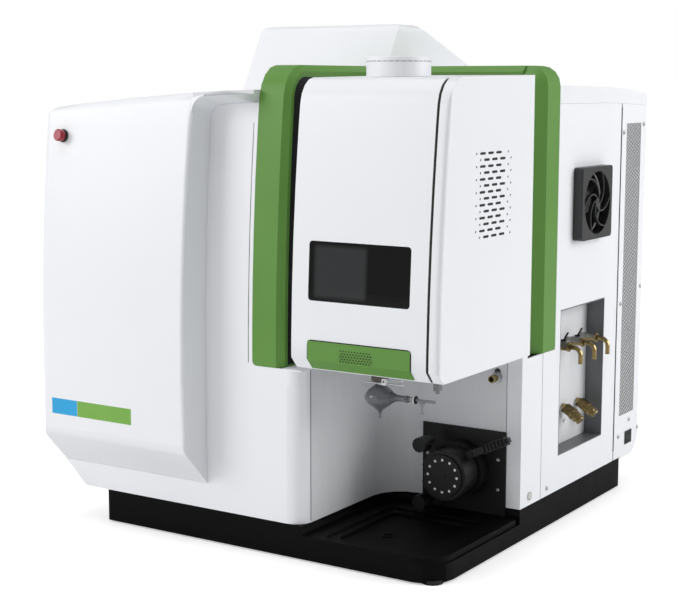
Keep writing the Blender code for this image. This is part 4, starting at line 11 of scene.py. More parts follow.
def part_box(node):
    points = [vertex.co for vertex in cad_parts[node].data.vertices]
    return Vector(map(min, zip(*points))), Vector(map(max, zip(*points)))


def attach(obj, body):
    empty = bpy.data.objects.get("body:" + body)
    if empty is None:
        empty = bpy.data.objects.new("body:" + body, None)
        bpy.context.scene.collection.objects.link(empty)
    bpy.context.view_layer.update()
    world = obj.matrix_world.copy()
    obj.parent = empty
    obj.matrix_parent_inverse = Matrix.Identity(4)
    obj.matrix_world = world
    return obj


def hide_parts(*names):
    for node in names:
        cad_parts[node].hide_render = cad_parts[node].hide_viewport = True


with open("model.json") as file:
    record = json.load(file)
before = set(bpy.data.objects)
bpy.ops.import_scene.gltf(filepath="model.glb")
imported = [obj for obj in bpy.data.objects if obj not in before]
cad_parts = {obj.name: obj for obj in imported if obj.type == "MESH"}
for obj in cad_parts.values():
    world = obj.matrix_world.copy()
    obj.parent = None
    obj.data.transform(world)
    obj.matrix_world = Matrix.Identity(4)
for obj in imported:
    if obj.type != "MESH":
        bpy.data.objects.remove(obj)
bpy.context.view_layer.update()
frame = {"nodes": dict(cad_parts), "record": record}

# The machine's right front corner, from which the places below are measured
CORNER = Vector((0.364, -0.36115, 0.0))
BODIES = frame["record"]["behaviour"]["bodies"]
BODY_OF = {node: body for body, nodes in BODIES.items() for node in nodes}


# Colours, nodes and finishes


def srgb(code):
    """Linear colour of an sRGB hex value."""
    shares = [int(code[i : i + 2], 16) / 255 for i in (0, 2, 4)]
    return (*[s / 12.92 if s <= 0.04045 else ((s + 0.055) / 1.055) ** 2.4 for s in shares], 1.0)


def add(tree, kind, settings=None, links=None):
    """Add a node with its settings, and link its inputs."""
    node = tree.nodes.new(kind)
    for key, value in (settings or {}).items():
        if isinstance(key, str) and hasattr(node, key):
            setattr(node, key, value)
        else:
            node.inputs[key].default_value = value
    for key, socket in (links or {}).items():
        tree.links.new(socket, node.inputs[key])
    return node


def finish(name, roughness, metallic=0.0, **more):
    """Start a finish: its node tree, its shader and the piece's own coordinates."""
    made = bpy.data.materials.new(name)
    made.use_nodes = True
    tree = made.node_tree
    shader = tree.nodes["Principled BSDF"]
    shader.inputs["Roughness"].default_value = roughness
    shader.inputs["Metallic"].default_value = metallic
    for key, value in more.items():
        shader.inputs[key.replace("_", " ")].default_value = value
    place = add(tree, "ShaderNodeTexCoord").outputs["Object"]
    return made, tree, shader, place


def mottled(tree, shader, place, light, dark, size, detail=3.0):
    """Colour that drifts between two near shades, over patches of a real size."""
    noise = add(tree, "ShaderNodeTexNoise", {"Scale": 1 / size, "Detail": detail}, {"Vector": place})
    shades = {"data_type": "RGBA", 6: srgb(dark), 7: srgb(light)}
    shade = add(tree, "ShaderNodeMix", shades, {0: noise.outputs["Fac"]})
    tree.links.new(shade.outputs[2], shader.inputs["Base Color"])


def pitted(tree, shader, place, size, depth, strength=0.5, swing=0.0, middle=0.4):
    """Fine relief of a real size and depth, which also sways the gloss."""
    grain = add(tree, "ShaderNodeTexNoise", {"Scale": 1 / size, "Detail": 4.0}, {"Vector": place})
    relief = {"Strength": strength, "Distance": depth}
    bump = add(tree, "ShaderNodeBump", relief, {"Height": grain.outputs["Fac"]})
    tree.links.new(bump.outputs["Normal"], shader.inputs["Normal"])
    if swing:
        limits = {"To Min": middle - swing, "To Max": middle + swing}
        gloss = add(tree, "ShaderNodeMapRange", limits, {"Value": grain.outputs["Fac"]})
        tree.links.new(gloss.outputs["Result"], shader.inputs["Roughness"])


def painted_foam():
    # Structural foam moulding with satin two-part paint: broad soft highlights and a faint
    # orange peel. The peel is drawn at 3 mm, coarser than the real 1 mm, so that it shows.
    made, tree, shader, place = finish("painted_foam", 0.42, IOR=1.5)
    mottled(tree, shader, place, "EEEFF2", "E8EAEE", 0.22)
    pitted(tree, shader, place, 0.003, 0.00006, 0.35, 0.05, 0.42)
    return made


def powder_coat():
    # Sheet steel with fine-textured powder paint: flatter and drier than the mouldings.
    made, tree, shader, place = finish("powder_coat", 0.50, IOR=1.5)
    mottled(tree, shader, place, "EEEFF2", "E7E9ED", 0.30)
    pitted(tree, shader, place, 0.0016, 0.00005, 0.45, 0.06, 0.50)
    return made


def bay_moulding():
    # Pale grey polypropylene of the bay's walls and the recess plate: satin, with drawn
    # vertical flow marks.
    made, tree, shader, place = finish("bay_moulding", 0.38, IOR=1.49)
    stretched = add(tree, "ShaderNodeMapping", {"Scale": (1.0, 1.0, 0.08)}, {"Vector": place})
    mottled(tree, shader, stretched.outputs["Vector"], "DEDFE2", "D6D8DB", 0.012)
    pitted(tree, shader, place, 0.002, 0.00004, 0.35, 0.04, 0.38)
    return made


def green_moulding():
    # Self-coloured ABS with a spark-eroded grain of about 1.2 mm: even satin green.
    made, tree, shader, place = finish("green_moulding", 0.46, IOR=1.45, Specular_IOR_Level=0.38)
    mottled(tree, shader, place, "619140", "5B8A3B", 0.10)
    pitted(tree, shader, place, 0.0012, 0.00006, 0.4, 0.06, 0.46)
    return made


def green_grip():
    # The same green ABS where the hand lifts the door: rows of raised pips 4 mm apart.
    made, tree, shader, place = finish("green_grip", 0.46, IOR=1.45, Specular_IOR_Level=0.38)
    mottled(tree, shader, place, "619140", "5B8A3B", 0.10)
    spacing, slope, half_width, half_height = 0.0042, 0.35, 0.031, 0.0075
    middle = CORNER + Vector((-0.133, -0.021, 0.342))
    offset = add(tree, "ShaderNodeVectorMath", {"operation": "SUBTRACT", 1: middle}, {0: place})
    axes = add(tree, "ShaderNodeSeparateXYZ", {}, {"Vector": offset.outputs["Vector"]})
    across, up = axes.outputs["X"], axes.outputs["Z"]
    slant = add(tree, "ShaderNodeMath", {"operation": "MULTIPLY_ADD", 1: slope}, {0: up, 2: across})
    slanted = slant.outputs["Value"]
    flat = add(tree, "ShaderNodeCombineXYZ", {}, {"X": slanted, "Y": up})
    rows = {"voronoi_dimensions": "2D", "Scale": 1 / spacing, "Randomness": 0.0}
    pips = add(tree, "ShaderNodeTexVoronoi", rows, {"Vector": flat.outputs["Vector"]})
    rims = {"From Min": 0.22, "From Max": 0.34, "To Min": 1.0, "To Max": 0.0}
    shown = add(tree, "ShaderNodeMapRange", rims, {"Value": pips.outputs["Distance"]}).outputs["Result"]
    for distance, limit in ((slanted, half_width), (up, half_height)):
        away = add(tree, "ShaderNodeMath", {"operation": "ABSOLUTE"}, {0: distance}).outputs["Value"]
        near = add(tree, "ShaderNodeMath", {"operation": "LESS_THAN", 1: limit}, {0: away})
        both = {0: shown, 1: near.outputs["Value"]}
        shown = add(tree, "ShaderNodeMath", {"operation": "MULTIPLY"}, both).outputs["Value"]
    bump = add(tree, "ShaderNodeBump", {"Strength": 0.9, "Distance": 0.0007}, {"Height": shown})
    tree.links.new(bump.outputs["Normal"], shader.inputs["Normal"])
    return made


def base_moulding():
    # Black ABS base with a leather-like tool grain of about 1.6 mm: dull, with a soft sheen.
    made, tree, shader, place = finish("base_moulding", 0.50, IOR=1.45, Specular_IOR_Level=0.09)
    mottled(tree, shader, place, "060607", "030304", 0.12)
    leather = {"Scale": 1 / 0.0016, "Randomness": 1.0}
    cells = add(tree, "ShaderNodeTexVoronoi", leather, {"Vector": place})
    relief = {"Strength": 0.35, "Distance": 0.00008}
    bump = add(tree, "ShaderNodeBump", relief, {"Height": cells.outputs["Distance"]})
    tree.links.new(bump.outputs["Normal"], shader.inputs["Normal"])
    wear = add(tree, "ShaderNodeTexNoise", {"Scale": 40.0}, {"Vector": place})
    limits = {"To Min": 0.46, "To Max": 0.58}
    gloss = add(tree, "ShaderNodeMapRange", limits, {"Value": wear.outputs["Fac"]})
    tree.links.new(gloss.outputs["Result"], shader.inputs["Roughness"])
    return made


def black_nylon():
    # Glass-filled nylon of the pump and its knobs: dull black with a dry, speckled skin.
    made, tree, shader, place = finish("black_nylon", 0.45, IOR=1.45, Specular_IOR_Level=0.36)
    mottled(tree, shader, place, "121314", "0B0B0C", 0.004)
    pitted(tree, shader, place, 0.0009, 0.00006, 0.5, 0.08, 0.46)
    return made


def fan_plastic():
    # Dark grey glass-filled PBT of a fan frame: a shade lighter than the pump's nylon.
    made, tree, shader, place = finish("fan_plastic", 0.42, IOR=1.57)
    mottled(tree, shader, place, "202123", "191A1B", 0.010)
    pitted(tree, shader, place, 0.0010, 0.00006, 0.45, 0.07, 0.42)
    return made


def foot_rubber():
    # Moulded nitrile rubber: matt black with a bloom of dust.
    made, tree, shader, place = finish("foot_rubber", 0.85, IOR=1.52)
    mottled(tree, shader, place, "202020", "131313", 0.006)
    pitted(tree, shader, place, 0.0012, 0.0001, 0.6)
    return made


def dark_sheet():
    # Dark grey painted steel round the plasma: soot-dulled satin.
    made, tree, shader, place = finish("dark_sheet", 0.50, IOR=1.5)
    mottled(tree, shader, place, "46484B", "3A3C3F", 0.05)
    pitted(tree, shader, place, 0.0015, 0.00006, 0.45, 0.06, 0.50)
    return made


def grey_sheet():
    # Zinc-grey painted sheet round the service recess: satin, with a drifting shade.
    made, tree, shader, place = finish("grey_sheet", 0.42, 0.25)
    mottled(tree, shader, place, "76787B", "5E6062", 0.07)
    pitted(tree, shader, place, 0.0014, 0.00005, 0.4, 0.06, 0.42)
    return made


def cast_unit():
    # Cast aluminium housings inside, sand-blasted: pale grey with a coarse 2 mm skin.
    made, tree, shader, place = finish("cast_unit", 0.55, 0.6)
    mottled(tree, shader, place, "C6C8CA", "B4B7BA", 0.02)
    pitted(tree, shader, place, 0.002, 0.00015, 0.6, 0.08, 0.55)
    return made


def turned_steel():
    # Stainless screws and locks, turned: bright, with a fine grain that breaks the highlight.
    made, tree, shader, place = finish("turned_steel", 0.28, 1.0)
    mottled(tree, shader, place, "C9CBCE", "AEB1B5", 0.002)
    pitted(tree, shader, place, 0.0005, 0.00003, 0.4, 0.08, 0.28)
    return made


def browned_steel():
    # Steel of the torch clamp, browned by heat: dark, with a dull uneven shine.
    made, tree, shader, place = finish("browned_steel", 0.38, 1.0)
    mottled(tree, shader, place, "77706A", "4C4642", 0.004, 5.0)
    pitted(tree, shader, place, 0.0010, 0.00005, 0.5, 0.08, 0.38)
    return made


def machined_aluminium():
    # Milled aluminium of the torch mount and coil plates: cool grey with cutter lines.
    made, tree, shader, place = finish("machined_aluminium", 0.34, 1.0)
    mottled(tree, shader, place, "CDD0D4", "B9BDC2", 0.006)
    cutter = {"bands_direction": "Z", "Scale": 320.0, "Distortion": 1.5}
    lines = add(tree, "ShaderNodeTexWave", cutter, {"Vector": place})
    relief = {"Strength": 0.2, "Distance": 0.00003}
    bump = add(tree, "ShaderNodeBump", relief, {"Height": lines.outputs["Fac"]})
    tree.links.new(bump.outputs["Normal"], shader.inputs["Normal"])
    return made


def turned_brass():
    # Bare brass fittings: warm yellow, browned by handling in patches of about 6 mm.
    made, tree, shader, place = finish("turned_brass", 0.27, 1.0)
    mottled(tree, shader, place, "B3A070", "6E5B38", 0.006, 5.0)
    pitted(tree, shader, place, 0.0012, 0.00004, 0.4, 0.09, 0.28)
    return made


def valve_zinc():
    # Nickel-plated zinc of the valve blocks: warm grey, a little blotched.
    made, tree, shader, place = finish("valve_zinc", 0.36, 0.9)
    mottled(tree, shader, place, "9C9B97", "7D7C79", 0.005)
    pitted(tree, shader, place, 0.0010, 0.00005, 0.4, 0.06, 0.36)
    return made


def smoked_acrylic():
    # Cast acrylic, dyed nearly black against the plasma's glare: deep gloss, faint wipe marks.
    made, tree, shader, place = finish("smoked_acrylic", 0.10, IOR=1.40)
    # The paler patch at the left, over the coil, is painted light from the lit inside of the torch box;
    # the rest is the near-black acrylic.
    middle = CORNER + Vector((-0.1655, -0.020, 0.4705))
    offset = add(tree, "ShaderNodeVectorMath", {"operation": "SUBTRACT", 1: middle}, {0: place})
    axes = add(tree, "ShaderNodeSeparateXYZ", {}, {"Vector": offset.outputs["Vector"]})
    shares = {}
    for socket, (axis, reach) in enumerate((("X", 0.047), ("Z", 0.040))):
        away = add(tree, "ShaderNodeMath", {"operation": "ABSOLUTE"}, {0: axes.outputs[axis]})
        fade = {"From Min": reach - 0.005, "From Max": reach + 0.003, "To Min": 1.0, "To Max": 0.0}
        share = add(tree, "ShaderNodeMapRange", fade, {"Value": away.outputs["Value"]})
        shares[socket] = share.outputs["Result"]
    # Painted light: the share of the paler patch that stands in for the lit inside of the torch box.
    glass = add(tree, "ShaderNodeMath", {"operation": "MULTIPLY"}, shares)
    shades = {"data_type": "RGBA", 6: srgb("060607"), 7: srgb("323334")}
    shade = add(tree, "ShaderNodeMix", shades, {0: glass.outputs["Value"]})
    tree.links.new(shade.outputs[2], shader.inputs["Base Color"])
    pitted(tree, shader, place, 0.03, 0.00002, 0.2, 0.03, 0.10)
    return made


def smoky_glass():
    # Borosilicate spray chamber, hazed grey inside by droplets.
    made, tree, shader, place = finish("smoky_glass", 0.08, IOR=1.47, Transmission_Weight=0.62)
    mottled(tree, shader, place, "8C8F94", "76797E", 0.008)
    pitted(tree, shader, place, 0.004, 0.00002, 0.3, 0.03, 0.09)
    return made


def blown_glass():
    # Borosilicate nebulizer: clear, a little grey where the wall is thick.
    made, tree, shader, place = finish("blown_glass", 0.06, IOR=1.47, Transmission_Weight=0.55)
    mottled(tree, shader, place, "B4B6BA", "94979C", 0.006)
    pitted(tree, shader, place, 0.004, 0.00002, 0.3, 0.03, 0.07)
    return made


def clear_quartz():
    # Fused quartz torch: clear, with faint ripples from the drawing of the tube.
    made, tree, shader, place = finish("clear_quartz", 0.05, IOR=1.46, Transmission_Weight=0.92)
    mottled(tree, shader, place, "EEF3F5", "E2EAEE", 0.02)
    pitted(tree, shader, place, 0.005, 0.00002, 0.25, 0.03, 0.06)
    return made


def red_button():
    # Injection-moulded red acetal: glossy cap with light handling marks.
    made, tree, shader, place = finish("red_button", 0.26, IOR=1.48)
    mottled(tree, shader, place, "A51B32", "8C1529", 0.004)
    pitted(tree, shader, place, 0.0015, 0.00003, 0.3, 0.05, 0.26)
    return made


def roller_acetal():
    # White acetal ends of the pump rollers: waxy off-white.
    made, tree, shader, place = finish("roller_acetal", 0.35, IOR=1.48)
    mottled(tree, shader, place, "E9E9E6", "D5D5D2", 0.001)
    pitted(tree, shader, place, 0.0008, 0.00003, 0.3)
    return made


def label_film(name, light, dark):
    # Bare vinyl film of the front plate, in one of its two colours: smooth satin, no print.
    # Calendered vinyl has a slight stretch ripple, drawn at 15 mm.
    made, tree, shader, place = finish(name, 0.34, IOR=1.52)
    mottled(tree, shader, place, light, dark, 0.05)
    pitted(tree, shader, place, 0.015, 0.00004, 0.25, 0.04, 0.34)
    return made


def seam_gasket():
    # Extruded EPDM strip in the panel seam: soft black, barely shiny.
    made, tree, shader, place = finish("seam_gasket", 0.70, IOR=1.5)
    mottled(tree, shader, place, "0E0E0F", "070708", 0.01)
    pitted(tree, shader, place, 0.002, 0.00005, 0.4)
    return made


def perforated_sheet():
    # Powder-coated sheet punched with 4.6 mm holes, 5.2 mm apart in rows on the diagonal.
    # The holes show the dark inside, and their rims catch the light.
    made, tree, shader, place = finish("perforated_sheet", 0.48, IOR=1.5)
    spacing, diagonal = 0.0052, (math.radians(45), 0, 0)
    turn = add(tree, "ShaderNodeMapping", {"Rotation": diagonal}, {"Vector": place})
    axes = add(tree, "ShaderNodeSeparateXYZ", {}, {"Vector": turn.outputs["Vector"]})
    sides = {"X": axes.outputs["Y"], "Y": axes.outputs["Z"]}
    flat = add(tree, "ShaderNodeCombineXYZ", {}, sides)
    rows = {"voronoi_dimensions": "2D", "Scale": 1 / spacing, "Randomness": 0.0}
    cells = add(tree, "ShaderNodeTexVoronoi", rows, {"Vector": flat.outputs["Vector"]})
    rims = {"From Min": 0.42, "From Max": 0.46}
    hole = add(tree, "ShaderNodeMapRange", rims, {"Value": cells.outputs["Distance"]}).outputs["Result"]
    shades = {"data_type": "RGBA", 6: srgb("08090A"), 7: srgb("E4E5E8")}
    shade = add(tree, "ShaderNodeMix", shades, {0: hole})
    tree.links.new(shade.outputs[2], shader.inputs["Base Color"])
    bump = add(tree, "ShaderNodeBump", {"Strength": 0.6, "Distance": 0.0006}, {"Height": hole})
    tree.links.new(bump.outputs["Normal"], shader.inputs["Normal"])
    return made


FINISHES = {
    "white_cover": painted_foam(),
    "white_panel": powder_coat(),
    "bay_wall": bay_moulding(),
    "green_trim": green_moulding(),
    "grip": green_grip(),
    "black_base": base_moulding(),
    "black_part": black_nylon(),
    "fan": fan_plastic(),
    "rubber": foot_rubber(),
    "dark_grey": dark_sheet(),
    "grey_sheet": grey_sheet(),
    "inner_unit": cast_unit(),
    "steel": turned_steel(),
    "dark_steel": browned_steel(),
    "aluminium": machined_aluminium(),
    "brass": turned_brass(),
    "zinc": valve_zinc(),
    "smoked_glass": smoked_acrylic(),
    "glass": smoky_glass(),
    "clear_glass": blown_glass(),
    "quartz": clear_quartz(),
    "red": red_button(),
    "acetal": roller_acetal(),
    "label_blue": label_film("label_blue", "1AA6DE", "0E9CD6"),
    "label_green": label_film("label_green", "77AE45", "70A63E"),
    "gasket": seam_gasket(),
    "mesh": perforated_sheet(),
}

SLOT_OF = {part["node"]: part["material_slot"] for part in frame["record"]["subparts"]}
OWN_FINISH = {
    "side_vent_mesh": "mesh",
    "door_handle": "grip",
    "fan_cover": "fan",
    "fan_body": "fan",
    "fan_rotor": "fan",
    "torch_mount": "dark_steel",
    "nebulizer": "clear_glass",
    "column_lock": "acetal",
    "service_recess_plate": "bay_wall",
}


# Shapes

# The front leans back above the bay, less and less towards the machine's back
LEAN_START, LEAN_HEIGHT, LEAN_DEPTH = 0.282, 0.480, 0.03404
LEAN_SHARE, LEAN_FADE = 0.84, 0.180
# The top is crowned across the width
CROWN_MIDDLE, CROWN_REACH, CROWN_DROP = -0.094, 0.658, 0.03666
# Slots in the torch box's cheek, in staggered rows from the top down
VENT_ROWS, VENT_TOP, VENT_PITCH = 14, 0.6495, 0.0097
# Middles of round parts, measured from the corner
PUMP_X, PUMP_Z = -0.105, 0.116
CHAMBER_X, CHAMBER_Y = -0.147, 0.070
PORT_X, PORT_Z = -0.045, 0.2752
LOCK_Y, LOCK_Z = 0.307, 0.073
COLLAR_X, COLLAR_Y = -0.140, 0.110


def lean(y, z):
    """Depth of a place on the front once the faces lean back above the tray's bay."""
    back = LEAN_DEPTH * (max(0.0, z - LEAN_START) / LEAN_HEIGHT) ** 2
    return y + back * max(0.0, LEAN_SHARE - y / LEAN_FADE)


def crown(x):
    """How far the top falls below its highest line at a place across the width."""
    return CROWN_DROP * ((x - CROWN_MIDDLE) / CROWN_REACH) ** 2


def eased(shape, edges, radius, segments):
    """Round off some edges of a shape."""
    bmesh.ops.bevel(
        shape,
        geom=edges,
        offset=radius,
        segments=segments,
        profile=0.5,
        affect="EDGES",
        material=-1,
    )


def thickened(shape, faces, way):
    """Give faces a thickness one way, and turn all faces outwards."""
    grown = bmesh.ops.extrude_face_region(shape, geom=faces)
    moved = [item for item in grown["geom"] if isinstance(item, bmesh.types.BMVert)]
    bmesh.ops.translate(shape, vec=way, verts=moved)
    bmesh.ops.recalc_face_normals(shape, faces=shape.faces)


def turned(profile, steps=28):
    """Round piece turned about Z from pairs of radius and height."""
    shape = bmesh.new()
    points = [shape.verts.new((radius, 0.0, height)) for radius, height in profile]
    lines = [shape.edges.new(pair) for pair in zip(points, points[1:])]
    bmesh.ops.spin(
        shape,
        geom=points + lines,
        cent=(0, 0, 0),
        axis=(0, 0, 1),
        angle=math.tau,
        steps=steps,
        use_merge=True,
    )
    bmesh.ops.remove_doubles(shape, verts=shape.verts, dist=0.000001)
    bmesh.ops.recalc_face_normals(shape, faces=shape.faces)
    return shape


def ring(bore, *rim):
    """Profile of a ring with a bore, from its outer points."""
    low, high = rim[0][1], rim[-1][1]
    return [(bore, low), *rim, (bore, high), (bore, low)]


def pressed(outline, depth, ease=0.0):
    """Solid of an outline in the XZ plane, pressed back along Y, with eased edges."""
    shape = bmesh.new()
    face = shape.faces.new([shape.verts.new((x, 0.0, z)) for x, z in outline])
    thickened(shape, [face], (0, depth, 0))
    if ease:
        eased(shape, shape.edges[:], ease, 2)
    return shape


def plate(left, right, low, high, depth, ease=0.0):
    """Pressed rectangle."""
    return pressed([(left, low), (right, low), (right, high), (left, high)], depth, ease)


def strip(one, other, thick):
    """Solid strip between two lines of places measured from the corner, thickened one way."""
    shape = bmesh.new()
    edges = []
    for line in (one, other):
        points = [shape.verts.new(CORNER + Vector(point)) for point in line]
        edges += [shape.edges.new(pair) for pair in zip(points, points[1:])]
    bridged = bmesh.ops.bridge_loops(shape, edges=edges)
    bmesh.ops.recalc_face_normals(shape, faces=shape.faces)
    thickened(shape, bridged["faces"], thick)
    return shape


def arc(centre, radius, start, end, steps=8):
    """Points of an arc in a plane, from one angle in degrees to another."""
    angles = [math.radians(start + (end - start) * step / steps) for step in range(steps + 1)]
    return [
        (centre[0] + radius * math.cos(angle), centre[1] + radius * math.sin(angle)) for angle in angles
    ]


def recast(shape, *rows):
    """Swap a shape's axes by three rows of a matrix, and turn its faces outwards again."""
    shape.transform(Matrix((*rows, (0, 0, 0, 1))))
    bmesh.ops.recalc_face_normals(shape, faces=shape.faces)
    return shape


def stood(shape, place, axis=(0, 0, 1)):
    """Turn a shape's Z along an axis and bring it to a place measured from the corner."""
    turn = Vector((0, 0, 1)).rotation_difference(Vector(axis)).to_matrix().to_4x4()
    shape.transform(Matrix.Translation(CORNER + Vector(place)) @ turn)
    return shape


def gathered(shapes):
    """Several shapes as one."""
    whole = bmesh.new()
    for shape in shapes:
        mesh = bpy.data.meshes.new("part")
        shape.to_mesh(mesh)
        shape.free()
        whole.from_mesh(mesh)
        bpy.data.meshes.remove(mesh)
    return whole


# Pieces


def show(name, shape, finishes, body, stands_for=()):
    """Make a piece of a shape that is already in place, and let it ride on its body."""
    mesh = bpy.data.meshes.new(name)
    shape.to_mesh(mesh)
    shape.free()
    for key in finishes:
        mesh.materials.append(FINISHES[key])
    mesh.shade_smooth()
    mesh.set_sharp_from_angle(angle=math.radians(33))
    piece = bpy.data.objects.new(name, mesh)
    bpy.context.scene.collection.objects.link(piece)
    weighted = piece.modifiers.new("even_faces", "WEIGHTED_NORMAL")
    weighted.keep_sharp = True
    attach(piece, body)
    if stands_for:
        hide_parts(*stands_for)


def shortened_column(shape):
    """Keep the column's raised top under the torch box only, clear of the band's foot."""
    shelf, front, back, new_back = 0.3070, 0.300, 0.342, 0.2920
    for vert in shape.verts:
        place = vert.co - CORNER
        if place.z > shelf and front < place.y < back:
            vert.co.y = CORNER.y + new_back


def rounded_handle(shape):
    """Round the handle's upper corners."""
    shoulders, radius = 0.3625, 0.006
    corners = []
    for edge in shape.edges:
        one, other = (vert.co for vert in edge.verts)
        if min(one.z, other.z) > shoulders and abs(one.x - other.x) < 0.0001:
            corners.append(edge)
    eased(shape, corners, radius, 6)


def trimmed_mount(shape):
    """Thin the torch mount's foot, where the clamp's own parts are shown."""
    underside = 0.3030
    for vert in shape.verts:
        vert.co.z = max(vert.co.z, underside)


def softened_cover(shape):
    """Round the cover's upper left corner, as seen from the front."""
    left, top, radius = -0.7500, 0.670, 0.022
    corners = []
    for edge in shape.edges:
        one, other = (vert.co - CORNER for vert in edge.verts)
        in_corner = max(one.x, other.x) < left and min(one.z, other.z) > top
        if in_corner and abs(one.y - other.y) > 0.008:
            if edge.calc_face_angle(0.0) > math.radians(50):
                corners.append(edge)
    eased(shape, corners, radius, 6)


def tapered_lip(shape):
    """Let the lid's lip run out where it meets the left band."""
    band, lip, back = -0.3450, -0.010, 0.034
    for vert in shape.verts:
        if vert.co.x - CORNER.x > band and vert.co.y - CORNER.y < lip:
            vert.co.y += back


RESHAPED = {
    "top_lid": tapered_lip,
    "right_column": shortened_column,
    "door_handle": rounded_handle,
    "torch_mount": trimmed_mount,
    "optics_cover": softened_cover,
}


def skin(node, second=None, chooses=None):
    """Finished skin over a CAD part: its faces joined where they are flat, its rounds smooth."""
    shape = bmesh.new()
    shape.from_mesh(frame["nodes"][node].data)
    bmesh.ops.remove_doubles(shape, verts=shape.verts, dist=0.00001)
    bmesh.ops.dissolve_limit(
        shape,
        angle_limit=math.radians(0.4),
        verts=shape.verts,
        edges=shape.edges,
        delimit={"NORMAL"},
    )
    if node in RESHAPED:
        RESHAPED[node](shape)
    for face in shape.faces:
        face.material_index = 0
    finishes = [OWN_FINISH.get(node, SLOT_OF[node])]
    if second:
        finishes.append(second)
        for face in shape.faces:
            if chooses(face.calc_center_median() - CORNER, face.normal):
                face.material_index = 1
    show(node + "_skin", shape, finishes, BODY_OF[node], [node])


def on_block(place, normal):
    """Whether a face of a gas fitting is part of its zinc valve block."""
    behind, stem, top = -0.0217, -0.0035, 0.3025
    return place.x < behind or (place.x < stem and place.z > top)


def inside_torch_box(place, normal):
    """Whether a face looks towards the torch."""
    torch = Vector((-0.122, 0.130, 0.540))
    return (torch - place).dot(normal) > 0


SPLIT_SKINS = {
    "gas_fitting_1": ("zinc", on_block),
    "gas_fitting_2": ("zinc", on_block),
    "gas_fitting_3": ("zinc", on_block),
    "torch_housing": ("dark_grey", inside_torch_box),
    "torch_door": ("dark_grey", inside_torch_box),
}

OWN_SHAPE = ("spray_chamber", "bay_gas_port")

for node in frame["nodes"]:
    if node not in OWN_SHAPE:
        skin(node, *SPLIT_SKINS.get(node, (None, None)))


# Small parts that the CAD model leaves out


def front_label():
    """Bare two-colour plate low on the cover's front."""
    low, high, front = 0.196, 0.223, -0.0611
    for name, left, right in (("label_blue", -0.723, -0.666), ("label_green", -0.6655, -0.547)):
        film = stood(plate(left, right, low, high, 0.0005, 0.0001), (0, front, 0))
        show(name + "_plate", film, [name], "housing")


def corner_fillet():
    """Hollow round where the cover's flank runs into the lip of the lid."""
    flank, left, radius, steps = -0.437, -0.4385, 0.022, 8
    shape = bmesh.new()
    loops = []
    for y, level in ((-0.0605, 0.7424), (0.0, 0.7294)):
        points = [(left, level + 0.002), (flank + radius, level + 0.002)]
        for step in range(steps + 1):
            angle = math.pi / 2 + step / steps * math.pi / 2
            x = flank + radius + radius * math.cos(angle)
            points.append((x, level - radius + radius * math.sin(angle)))
        points.append((left, level - radius))
        verts = []
        for x, z in points:
            low = z - crown(x)
            verts.append(shape.verts.new(CORNER + Vector((x, lean(y, low), low))))
        shape.faces.new(verts)
        loops.append([shape.edges.get((a, b)) for a, b in zip(verts, verts[1:] + verts[:1])])
    bmesh.ops.bridge_loops(shape, edges=loops[0] + loops[1])
    bmesh.ops.recalc_face_normals(shape, faces=shape.faces)
    show("cover_fillet", shape, ["white_cover"], "housing")


def side_gasket():
    """Rounded black strip in the seam between the two side panels."""
    half, long = 0.0024, 0.636
    bead = [(-half, -0.004), (half, -0.004), (half, 0.0001), (half * 0.8, 0.0004)]
    bead += [(-half * 0.8, 0.0004), (-half, 0.0001)]
    shape = recast(pressed(bead, long), (0, 0, 1, 0), (1, 0, 0, 0), (0, 1, 0, 0))
    show("side_gasket", stood(shape, (0, 0.662, 0.075)), ["gasket"], "housing")


def button_head(radius):
    """Low round screw head with a socket."""
    tall = radius * 0.5
    return turned(
        [
            (0.0, tall * 0.35),
            (radius * 0.38, tall * 0.35),
            (radius * 0.44, tall * 0.95),
            (radius * 0.60, tall),
            (radius * 0.86, tall * 0.72),
            (radius * 0.98, tall * 0.36),
            (radius, 0.0),
            (0.0, 0.0),
        ],
        20,
    )


def screws():
    """Screws on the right side panels and on the pump's plate."""
    side = [(0.766, 0.678), (0.672, 0.665), (0.772, 0.374), (0.677, 0.351), (0.734, 0.123)]
    side += [(0.778, 0.100), (0.684, 0.099), (0.374, 0.071)]
    heads = [stood(button_head(0.0042), (0.0, y, z), (1, 0, 0)) for y, z in side]
    show("side_screws", gathered(heads), ["steel"], "housing")
    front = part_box("pump_plate")[0].y - CORNER.y
    corners = [(-0.173, 0.131), (-0.040, 0.137), (-0.040, 0.086)]
    heads = [stood(button_head(0.0032), (x, front, z), (0, -1, 0)) for x, z in corners]
    show("plate_screws", gathered(heads), ["steel"], "housing")


def roller_ends():
    """White ends of the pump rotor's rollers."""
    rollers, circle = 12, 0.027
    profile = [(0.0, 0.0006), (0.0016, 0.0006), (0.0023, 0.0), (0.0024, -0.001), (0.0, -0.001)]
    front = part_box("pump_rotor")[0].y - CORNER.y + 0.0001
    ends = []
    for step in range(rollers):
        angle = math.tau * step / rollers
        place = (PUMP_X + circle * math.cos(angle), front, PUMP_Z + circle * math.sin(angle))
        ends.append(stood(turned(profile, 14), place, (0, -1, 0)))
    show("roller_ends", gathered(ends), ["acetal"], "rotor")


